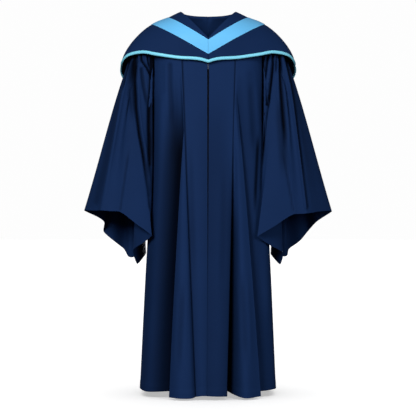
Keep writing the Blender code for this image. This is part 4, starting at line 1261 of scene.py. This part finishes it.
class GOWN_OT_zip(GownOperator, Operator):
    """Makes the zip's tapes and teeth, and finishes its slider and pull tab"""

    bl_idname = "gown.zip"
    bl_label = "Zip"

    def execute(self, context):
        sizes = self.sizes
        for side, mirror in SIDES:
            rows = body_quarter(side, False, sizes)[0]
            z = np.linspace(ZIP_TOP_Z, ZIP_LOW_Z, ZIP_TAPE_GRID[0])
            edge, way = rows[:, 0], unit(rows[:, 1] - rows[:, 0])
            order = np.argsort(edge[:, 2])
            at = np.stack([np.interp(z, edge[order, 2], edge[order, c]) for c in range(3)], axis=1)
            lead = unit(np.stack([np.interp(z, edge[order, 2], way[order, c]) for c in range(3)], axis=1))
            at[:, 1] += ZIP_TAPE_BEHIND
            inner = at - lead * ((at[:, :1] - ZIP_TAPE_INNER) / lead[:, :1])
            u = np.linspace(0, 1, ZIP_TAPE_GRID[1])[None, :, None]
            tape = mix(inner[:, None], (at + lead * ZIP_TAPE_UNDER)[:, None], u)
            normals = np.broadcast_to(np.array((0.0, -1.0, 0.0)), tape.shape).copy()
            node = f"zip_tape_{side}"
            black = self.material("zip_tape")
            piece = cloth(node + "_tape", tape, normals, ZIP_TAPE_WALL, black, mirror=mirror)
            declare(piece, node, tape)
            self.teeth(side, mirror, inner, sizes)
        for node in ("zip_slider", "zip_pull"):
            for slot in bpy.data.objects[node].material_slots:
                slot.material = self.material("zip_metal")
        return {"FINISHED"}

    def teeth(self, side, mirror, inner, sizes):
        """One row of teeth along a tape's edge: each is a small block that reaches past the middle."""
        first = TEETH_TOP_Z - (0.5 if mirror else 0.0) * sizes.tooth_pitch
        run = first - (ZIP_LOW_Z + TEETH_ABOVE_END)
        bpy.ops.object.select_all(action="DESELECT")
        bpy.ops.mesh.primitive_cube_add(size=1, location=(0, 0, 0))
        piece = bpy.context.object
        piece.name = f"zip_teeth_{side}"
        bpy.ops.object.mode_set(mode="EDIT")
        bpy.ops.mesh.select_all(action="SELECT")
        bpy.ops.transform.resize(value=(TOOTH_WIDTH, TOOTH_DEPTH, 0.5 * sizes.tooth_pitch))
        bpy.ops.mesh.bevel(offset=TOOTH_BEVEL, segments=1, affect="EDGES")
        reach = -TOOTH_REACH if mirror else TOOTH_REACH
        bpy.ops.transform.translate(value=(reach, TOOTH_BEHIND, first))
        bpy.ops.object.mode_set(mode="OBJECT")
        row = piece.modifiers.new("row", "ARRAY")
        row.count = int(run / sizes.tooth_pitch)
        row.use_relative_offset = False
        row.use_constant_offset = True
        row.constant_offset_displace = (0, 0, -sizes.tooth_pitch)
        bpy.ops.object.modifier_apply(modifier=row.name)
        points = np.empty(3 * len(piece.data.vertices))
        piece.data.vertices.foreach_get("co", points)
        points = points.reshape(-1, 3)
        points[:, 1] += np.interp(points[:, 2], inner[::-1, 2], inner[::-1, 1])
        piece.data.vertices.foreach_set("co", points.ravel())
        piece.data.materials.append(self.material("zip_teeth"))
        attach(piece, BODY)


Lamp = namedtuple("Lamp", "name place size power")
LAMPS = [
    Lamp("key", (-1.8, -4.2, 1.2), 1.5, 178),
    Lamp("fill", (2.6, -4.0, 0.5), 2.0, 80),
    Lamp("rear", (0.3, 4.2, -0.2), 2.0, 105),
]
LIT_POINT = (0, 0, -0.6)
FLOOR_BELOW = 0.006
FLOOR_GLOW = 0.45
WALL_GLOW = 0.985
FLOOR_SUN = 2.1
FLOOR_SUN_ANGLE = 100  # degrees
ROOM_RADIUS = 24
ROOM_HEIGHT = 30
WORLD_LIGHT = 0.07


class GOWN_OT_stage(GownOperator, Operator):
    """Sets the pale floor, the soft studio light and the camera"""

    bl_idname = "gown.stage"
    bl_label = "Stage"

    def execute(self, context):
        scene = bpy.context.scene
        floor = self.room(CAD_BOX[0][2] - FLOOR_BELOW)
        for lamp in LAMPS:
            self.light(lamp, floor)
        world = bpy.data.worlds.new("studio")
        world.use_nodes = True
        sky = world.node_tree.nodes["Background"].inputs
        sky["Color"].default_value = (1, 1, 1, 1)
        sky["Strength"].default_value = WORLD_LIGHT
        scene.world = world
        scene.view_settings.view_transform = "Standard"

        camera = bpy.data.cameras.new("camera")
        camera.sensor_width = 36
        distance, middle_z, seen_width = 5.0, -0.6628, 1.4082
        camera.lens = camera.sensor_width * distance / seen_width
        camera.clip_end = 60
        stand = bpy.data.objects.new("camera", camera)
        stand.location = (-0.0007, -distance, middle_z)
        stand.rotation_euler = (math.radians(90), 0, 0)
        scene.collection.objects.link(stand)
        scene.camera = stand
        return {"FINISHED"}

    def light(self, one, floor):
        """A soft square lamp that lights the gown and leaves the floor to its own light."""
        light = bpy.data.lights.new(one.name, "AREA")
        light.shape = "SQUARE"
        light.size = one.size
        light.energy = one.power
        lamp = bpy.data.objects.new(one.name, light)
        lamp.location = one.place
        way = np.array(LIT_POINT) - np.array(one.place)
        lamp.rotation_euler = (
            math.atan2(math.hypot(way[0], way[1]), -way[2]),
            0,
            math.atan2(way[1], way[0]) - math.pi / 2,
        )
        bpy.context.scene.collection.objects.link(lamp)
        lit = bpy.data.collections.new(one.name + " lights")
        lit.objects.link(floor)
        lit.collection_objects[0].light_linking.link_state = "EXCLUDE"
        lamp.light_linking.receiver_collection = lit

    def room(self, z):
        """A round floor that turns up into a pale wall, with a soft shadow where the gown is near it."""
        bpy.ops.object.select_all(action="DESELECT")
        bpy.ops.mesh.primitive_circle_add(
            vertices=96, radius=ROOM_RADIUS, fill_type="NGON", location=(0, 0, z)
        )
        floor = bpy.context.object
        floor.name = "floor"
        bpy.ops.object.mode_set(mode="EDIT")
        bpy.ops.mesh.select_mode(type="EDGE")
        bpy.ops.mesh.select_all(action="SELECT")
        bpy.ops.mesh.region_to_loop()
        bpy.ops.mesh.extrude_edges_move(TRANSFORM_OT_translate={"value": (0, 0, ROOM_HEIGHT)})
        bpy.ops.object.mode_set(mode="OBJECT")
        bpy.ops.object.transform_apply(location=True)
        plain = (("floor", FLOOR_GLOW, tuple(self.colours.floor)), ("wall", WALL_GLOW, (0, 0, 0)))
        for name, glow, colour in plain:
            material = Dye(name).finish(
                Base_Color=(*colour, 1),
                Roughness=0.9,
                Specular_IOR_Level=0.0,
                Emission_Color=(1, 1, 1, 1),
                Emission_Strength=glow,
            )
            floor.data.materials.append(material)
        for face in floor.data.polygons:
            face.material_index = 0 if abs(face.normal.z) > 0.5 else 1
        floor.visible_diffuse = False
        floor.visible_glossy = False
        floor.visible_shadow = False
        sun = bpy.data.lights.new("floor light", "SUN")
        sun.energy = FLOOR_SUN
        sun.angle = math.radians(FLOOR_SUN_ANGLE)
        lamp = bpy.data.objects.new("floor light", sun)
        bpy.context.scene.collection.objects.link(lamp)
        lit = bpy.data.collections.new("floor lights")
        lit.objects.link(floor)
        lamp.light_linking.receiver_collection = lit
        return floor


class GOWN_PT_panel(Panel):
    bl_label = "Graduation gown"
    bl_idname = "GOWN_PT_panel"
    bl_space_type = "VIEW_3D"
    bl_region_type = "UI"
    bl_category = "Gown"

    def draw(self, context):
        for group in (context.scene.gown_sizes, context.scene.gown_colours):
            for name in group.__annotations__:
                self.layout.prop(group, name)
        for operator in OPERATORS:
            self.layout.operator(operator.bl_idname)


OPERATORS = (
    GOWN_OT_stage,
    GOWN_OT_fronts,
    GOWN_OT_backs,
    GOWN_OT_yokes,
    GOWN_OT_sleeves,
    GOWN_OT_hood,
    GOWN_OT_zip,
)
CLASSES = (GownSizes, GownColours, *OPERATORS, GOWN_PT_panel)


def register():
    for one in CLASSES:
        bpy.utils.register_class(one)
    bpy.types.Scene.gown_sizes = PointerProperty(type=GownSizes)
    bpy.types.Scene.gown_colours = PointerProperty(type=GownColours)


def unregister():
    del bpy.types.Scene.gown_colours
    del bpy.types.Scene.gown_sizes
    for one in reversed(CLASSES):
        bpy.utils.unregister_class(one)


def main():
    register()
    bpy.ops.gown.stage()
    bpy.ops.gown.fronts()
    bpy.ops.gown.backs()
    bpy.ops.gown.yokes()
    bpy.ops.gown.sleeves()
    bpy.ops.gown.hood()
    bpy.ops.gown.zip()


if __name__ == "__main__":
    main()
